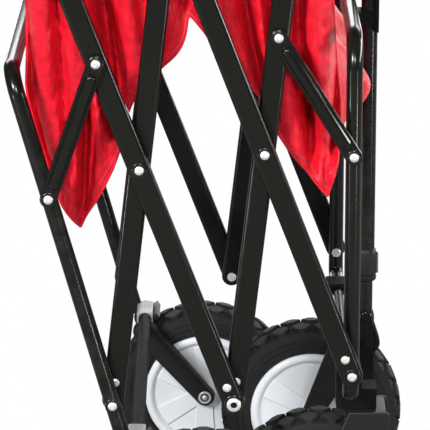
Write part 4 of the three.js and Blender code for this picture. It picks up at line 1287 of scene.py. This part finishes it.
def side_trim(name, points, normals, corners, *span):
    """Rolled rims, the piping along the bottom corners and the stitching of a side."""
    roll, thread = Shape(), Shape()
    for row in (0, -1):
        sweep(roll, points[:, row], 2.1, 10)
    for row in corners:
        sweep(roll, points[:, row] + normals[:, row] * 0.4, 1.35, 10)
    for row in (corners[0] - 2, corners[1] + 2, 4, -5):
        stitches(thread, points[:, row], normals[:, row])
    for near, far in ((corners[0] - 2, corners[0] - 3), (corners[1] + 2, corners[1] + 3)):
        sweep(thread, (points[:, near] + points[:, far] + normals[:, near]) * 0.5, 0.75, 8)
    made = []
    for part, shape, finish in (("hems", roll, "cloth"), ("stitches", thread, "thread")):
        made.append(make(f"{name}_{part}", shape, finish, None))
        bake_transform(made[-1])
    return made


def end_wall(end, edge, thick, forward):
    """An end wall between the two sides and the floor, with its rolled rim."""
    name, body = f"bag_wall_{end}", f"{end}_frame"
    left = edge[:SIDE_ROWS][::-1]
    low = edge[SIDE_ROWS - 1 : SIDE_ROWS + FLOOR_ROWS - 1]
    right = edge[SIDE_ROWS + FLOOR_ROWS - 2 :]
    s = np.linspace(0, 1, FLOOR_ROWS)[:, None]
    t = np.linspace(0, 1, SIDE_ROWS)[None]
    slack = 7 * (4 * s * (1 - s))
    high = left[-1] * (1 - s) + right[-1] * s - np.array((0, 0, 1)) * slack
    points = coons(left, right, low, high, FLOOR_ROWS, SIDE_ROWS)
    y, z = points[..., 1], points[..., 2]
    broad = cloud(y / 34, z / 75, 2.5 * forward)
    small = cloud((y + z * 0.3) / 11, z / 20, 4.5 * forward)
    push = np.minimum(-5 + 8 * broad + 1.5 * small, 1.5)
    if forward > 0:  # the wall is pushed out beside each front post
        bulge, bulge_z = 38, 493
        for bulge_y in (-84, 84):
            push += bulge * np.exp(-(((y - bulge_y) / 50) ** 2) - ((z - bulge_z) / 38) ** 2)
    points[..., 0] += forward * push * np.minimum(1, 5 * s * (1 - s)) * np.minimum(1, 8 * t)
    normals = grid_normals(points)
    normals *= np.sign(normals[..., 0].mean()) * forward
    piece = cloth_piece(name, points, normals, thick)
    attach(piece, body)
    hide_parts(f"bag_end_{end}")
    roll, thread = Shape(), Shape()
    for line, radius in ((points[:, -1], 2.1), (points[0], 1.35), (points[-1], 1.35), (points[:, 0], 1.35)):
        sweep(roll, line, radius, 10)
    for row in (-5, 2):
        stitches(thread, points[:, row], normals[:, row])
    trims = [make(f"{name}_hems", roll, "cloth", body), make(f"{name}_stitches", thread, "thread", body)]


def bag_sides(depth):
    """The grids of the left and right side, and the columns of their ends and seams."""
    side, seams = bag_outline()
    x, z = side[..., 0], side[..., 1]
    settle = HEM_HOLD + (1 - HEM_HOLD) * np.minimum(1, np.arange(SIDE_ROWS) / HEM_ROWS)[None]
    grids = [
        np.stack((x, sign * (SIDE_Y + fold_field(x, z, seed, depth) * settle), z), -1)
        for sign, seed in ((1, 4.0), (-1, 0.0))
    ]
    return side, seams, *grids


def bag_floor(left, right):
    """The floor between the lower hems of the sides, a little rumpled."""
    across = np.linspace(0, 1, FLOOR_ROWS)[None, 1:-1, None]
    floor = left[:, :1] * (1 - across) + right[:, :1] * across
    belly = np.sin(np.pi * across[..., 0]) ** 0.6
    x, y = floor[..., 0], floor[..., 1]
    floor[..., 2] += belly * (3 + 7 * cloud(x / 30, y / 60, 1.5) + 1.6 * cloud(x / 9, y / 22, 5.5))
    floor[..., 0] += belly * 3 * cloud(x / 25, y / 40, 8.5)
    return floor


def blend_spans(side, seams):
    """For each of the three pieces a direction and two distances along it, between its two bodies."""
    lean, level = np.array((0.985, 0.17)), np.array((1.0, 0.0))
    rear_seam, front_seam = (side[seams[k], [0, -1]] for k in (1, 2))
    return (
        (lean, (side[0] @ lean).max(), (rear_seam @ lean).min()),
        (level, TOP_PIVOT[0] - 19, TOP_PIVOT[0] + 19),
        (level, front_seam[:, 0].max(), side[-1, :, 0].min()),
    )


CLOTH_CUTS = (("rear", (0.13, 0.84), 0.095), ("middle", (0.25, 0.72), 0.15), ("front", (0.13, 0.80), 0.09))
CLOTH_BODIES = ("rear_frame", "scissor_2", "scissor_3", "front_frame")
CLOTH_HOLDERS = ("rear_arch", "tube_2_left_tube", "tube_3_left_tube", "front_loop")


class WAGON_OT_bag(bpy.types.Operator):
    """Builds the gathered cloth bag: sides and floor in three pieces, two end walls, hems and stitching"""

    bl_idname = "wagon.cloth_bag"
    bl_label = "Cloth bag"

    def execute(self, context):
        setting = context.scene.wagon_bag
        thick = setting.thickness * METRE
        side, seams, left, right = bag_sides(setting.fold_depth)
        sheet = np.concatenate((left[:, ::-1], bag_floor(left, right), right), 1)
        corners = (SIDE_ROWS - 1, SIDE_ROWS + FLOOR_ROWS - 2)
        normals = grid_normals(sheet)
        normals *= np.sign(normals[:, :SIDE_ROWS, 1].mean())
        for k, (direction, *ends) in enumerate(blend_spans(side, seams)):
            where, cut, area = CLOTH_CUTS[k]
            name = f"bag_cloth_{where}"
            part = slice(seams[k], seams[k + 1] + 1)
            span = (*CLOTH_BODIES[k : k + 2], *(blend_point(direction, end) for end in ends))
            hung_from = list(CLOTH_HOLDERS[k : k + 2])
            piece = cloth_piece(name, sheet[part], normals[part], thick)
            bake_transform(piece)
            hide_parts(f"bag_{where}")
            trims = side_trim(name, sheet[part], normals[part], corners, *span)
        end_wall("rear", sheet[0], thick, -1)
        end_wall("front", sheet[-1], thick, 1)
        return {"FINISHED"}


# ---- stage --------------------------------------------------------------------------------------
def white_to_camera(tree, lit, kind, end):
    """Shows plain white to the camera while a surface or the world lights and shades as it is."""
    mix = node(tree, "MixShader", Fac=node(tree, "LightPath").outputs["Is Camera Ray"])
    white = node(tree, kind, Color=(1, 1, 1, 1), Strength=1.0)
    tree.links.new(lit, mix.inputs[1])
    tree.links.new(white.outputs[0], mix.inputs[2])
    tree.links.new(mix.outputs["Shader"], tree.nodes[end].inputs["Surface"])


LAMPS = (
    ("key_softbox", (-1.6, -2.5, 1.8), (0.5, 0.6), 134),
    ("right_strip", (2.4, 0.4, 1.0), (3.0, 0.26), 90),
    ("front_fill", (0.15, -3.2, 1.9), (0.6, 0.6), 74),
    ("back_wall", (0.0, 3.0, 1.95), (4.4, 1.4), 110),
    ("back_low", (0.3, 2.6, 0.24), (2.6, 0.4), 12),
    ("left_card", (-1.19, -0.91, 0.157), (0.12, 0.12), 3.2),
    ("right_card", (1.09, -1.345, 0.157), (0.12, 0.12), 3.2),
)
LAMPS_AIM = Vector((0, 0, 0.4))


def stage_floor():
    """A pale floor just below the wheels, plain white to the camera."""
    reach = 6.0
    mesh = bpy.data.meshes.new("floor")
    corners = [(x * reach, y * reach, 0) for x, y in ((-1, -1), (1, -1), (1, 1), (-1, 1))]
    mesh.from_pydata(corners, [], [(0, 1, 2, 3)])
    floor = link("floor", mesh)
    floor.location.z = -0.0005
    pale, tree, shader = principled("stage_white", Roughness=0.9, Specular_IOR_Level=0.1)
    mottle = placed(tree, "grain", Scale=3.0, Mottle_scale=1.0)["Mottle"]
    feed(tree, shader, Base_Color=two_tone(tree, mottle, (0.21, 0.21, 0.21), (0.23, 0.23, 0.23)))
    white_to_camera(tree, shader.outputs["BSDF"], "Emission", "Material Output")
    mesh.materials.append(pale)
    return floor


def studio_world():
    world = bpy.data.worlds.new("studio")
    world.use_nodes = True
    tree = world.node_tree
    backing = feed(tree, tree.nodes["Background"], Color=(1, 1, 1, 1), Strength=0.04)
    white_to_camera(tree, backing.outputs["Background"], "Background", "World Output")
    return world


def area_lamp(name, spot, size, power):
    light = bpy.data.lights.new(name, "AREA")
    light.shape = "RECTANGLE"
    light.size, light.size_y = size
    light.energy = power
    lamp = link(name, light)
    lamp.location = spot
    lamp.rotation_euler = (LAMPS_AIM - lamp.location).to_track_quat("-Z", "Y").to_euler()
    return lamp


def stage_camera(setting):
    optics = bpy.data.cameras.new("camera")
    optics.lens = setting.lens
    optics.sensor_width = 36
    camera = link("camera", optics)
    camera.location = (-0.00072, -3.0393, 1.2147)
    camera.rotation_euler = (math.pi / 2 - setting.elevation, 0, 0)
    return camera


class WAGON_OT_stage(bpy.types.Operator):
    """Builds the floor, the backdrop, the lamps and the camera"""

    bl_idname = "wagon.stage"
    bl_label = "Stage"

    def execute(self, context):
        scene = context.scene
        setting = scene.wagon_stage
        floor = stage_floor()
        scene.world = studio_world()
        lamps = [area_lamp(name, spot, size, power * setting.lamp) for name, spot, size, power in LAMPS]
        scene.camera = stage_camera(setting)
        scene.view_settings.view_transform = "Standard"
        return {"FINISHED"}


# ---- panel and running --------------------------------------------------------------------------
PIECES = (
    WAGON_OT_tubes, WAGON_OT_frames, WAGON_OT_links, WAGON_OT_rivets, WAGON_OT_forks,
    WAGON_OT_wheels, WAGON_OT_handle, WAGON_OT_carried, WAGON_OT_bag, WAGON_OT_stage,
)
SETTINGS = (
    ("wagon_metal", WagonMetal),
    ("wagon_wheels", WagonWheels),
    ("wagon_bag", WagonBag),
    ("wagon_stage", WagonStage),
)


class WAGON_PT_panel(bpy.types.Panel):
    """Settings and build steps of the wagon"""

    bl_idname = "WAGON_PT_panel"
    bl_label = "Folding wagon"
    bl_space_type = "VIEW_3D"
    bl_region_type = "UI"
    bl_category = "Wagon"

    def draw(self, context):
        for name, kind in SETTINGS:
            box = self.layout.box()
            for label in kind.__annotations__:
                box.prop(getattr(context.scene, name), label)
        for piece in PIECES:
            self.layout.operator(piece.bl_idname)


CLASSES = tuple(kind for _, kind in SETTINGS) + PIECES + (WAGON_PT_panel,)


def register():
    for kind in CLASSES:
        bpy.utils.register_class(kind)
    for name, kind in SETTINGS:
        setattr(bpy.types.Scene, name, bpy.props.PointerProperty(type=kind))


def unregister():
    for name, _ in reversed(SETTINGS):
        delattr(bpy.types.Scene, name)
    for kind in reversed(CLASSES):
        bpy.utils.unregister_class(kind)


def main():
    register()
    scene = bpy.context.scene
    build_finishes(scene.wagon_metal, scene.wagon_wheels, scene.wagon_bag)
    for piece in PIECES:
        family, name = piece.bl_idname.split(".")
        getattr(getattr(bpy.ops, family), name)()


if __name__ == "__main__":
    main()
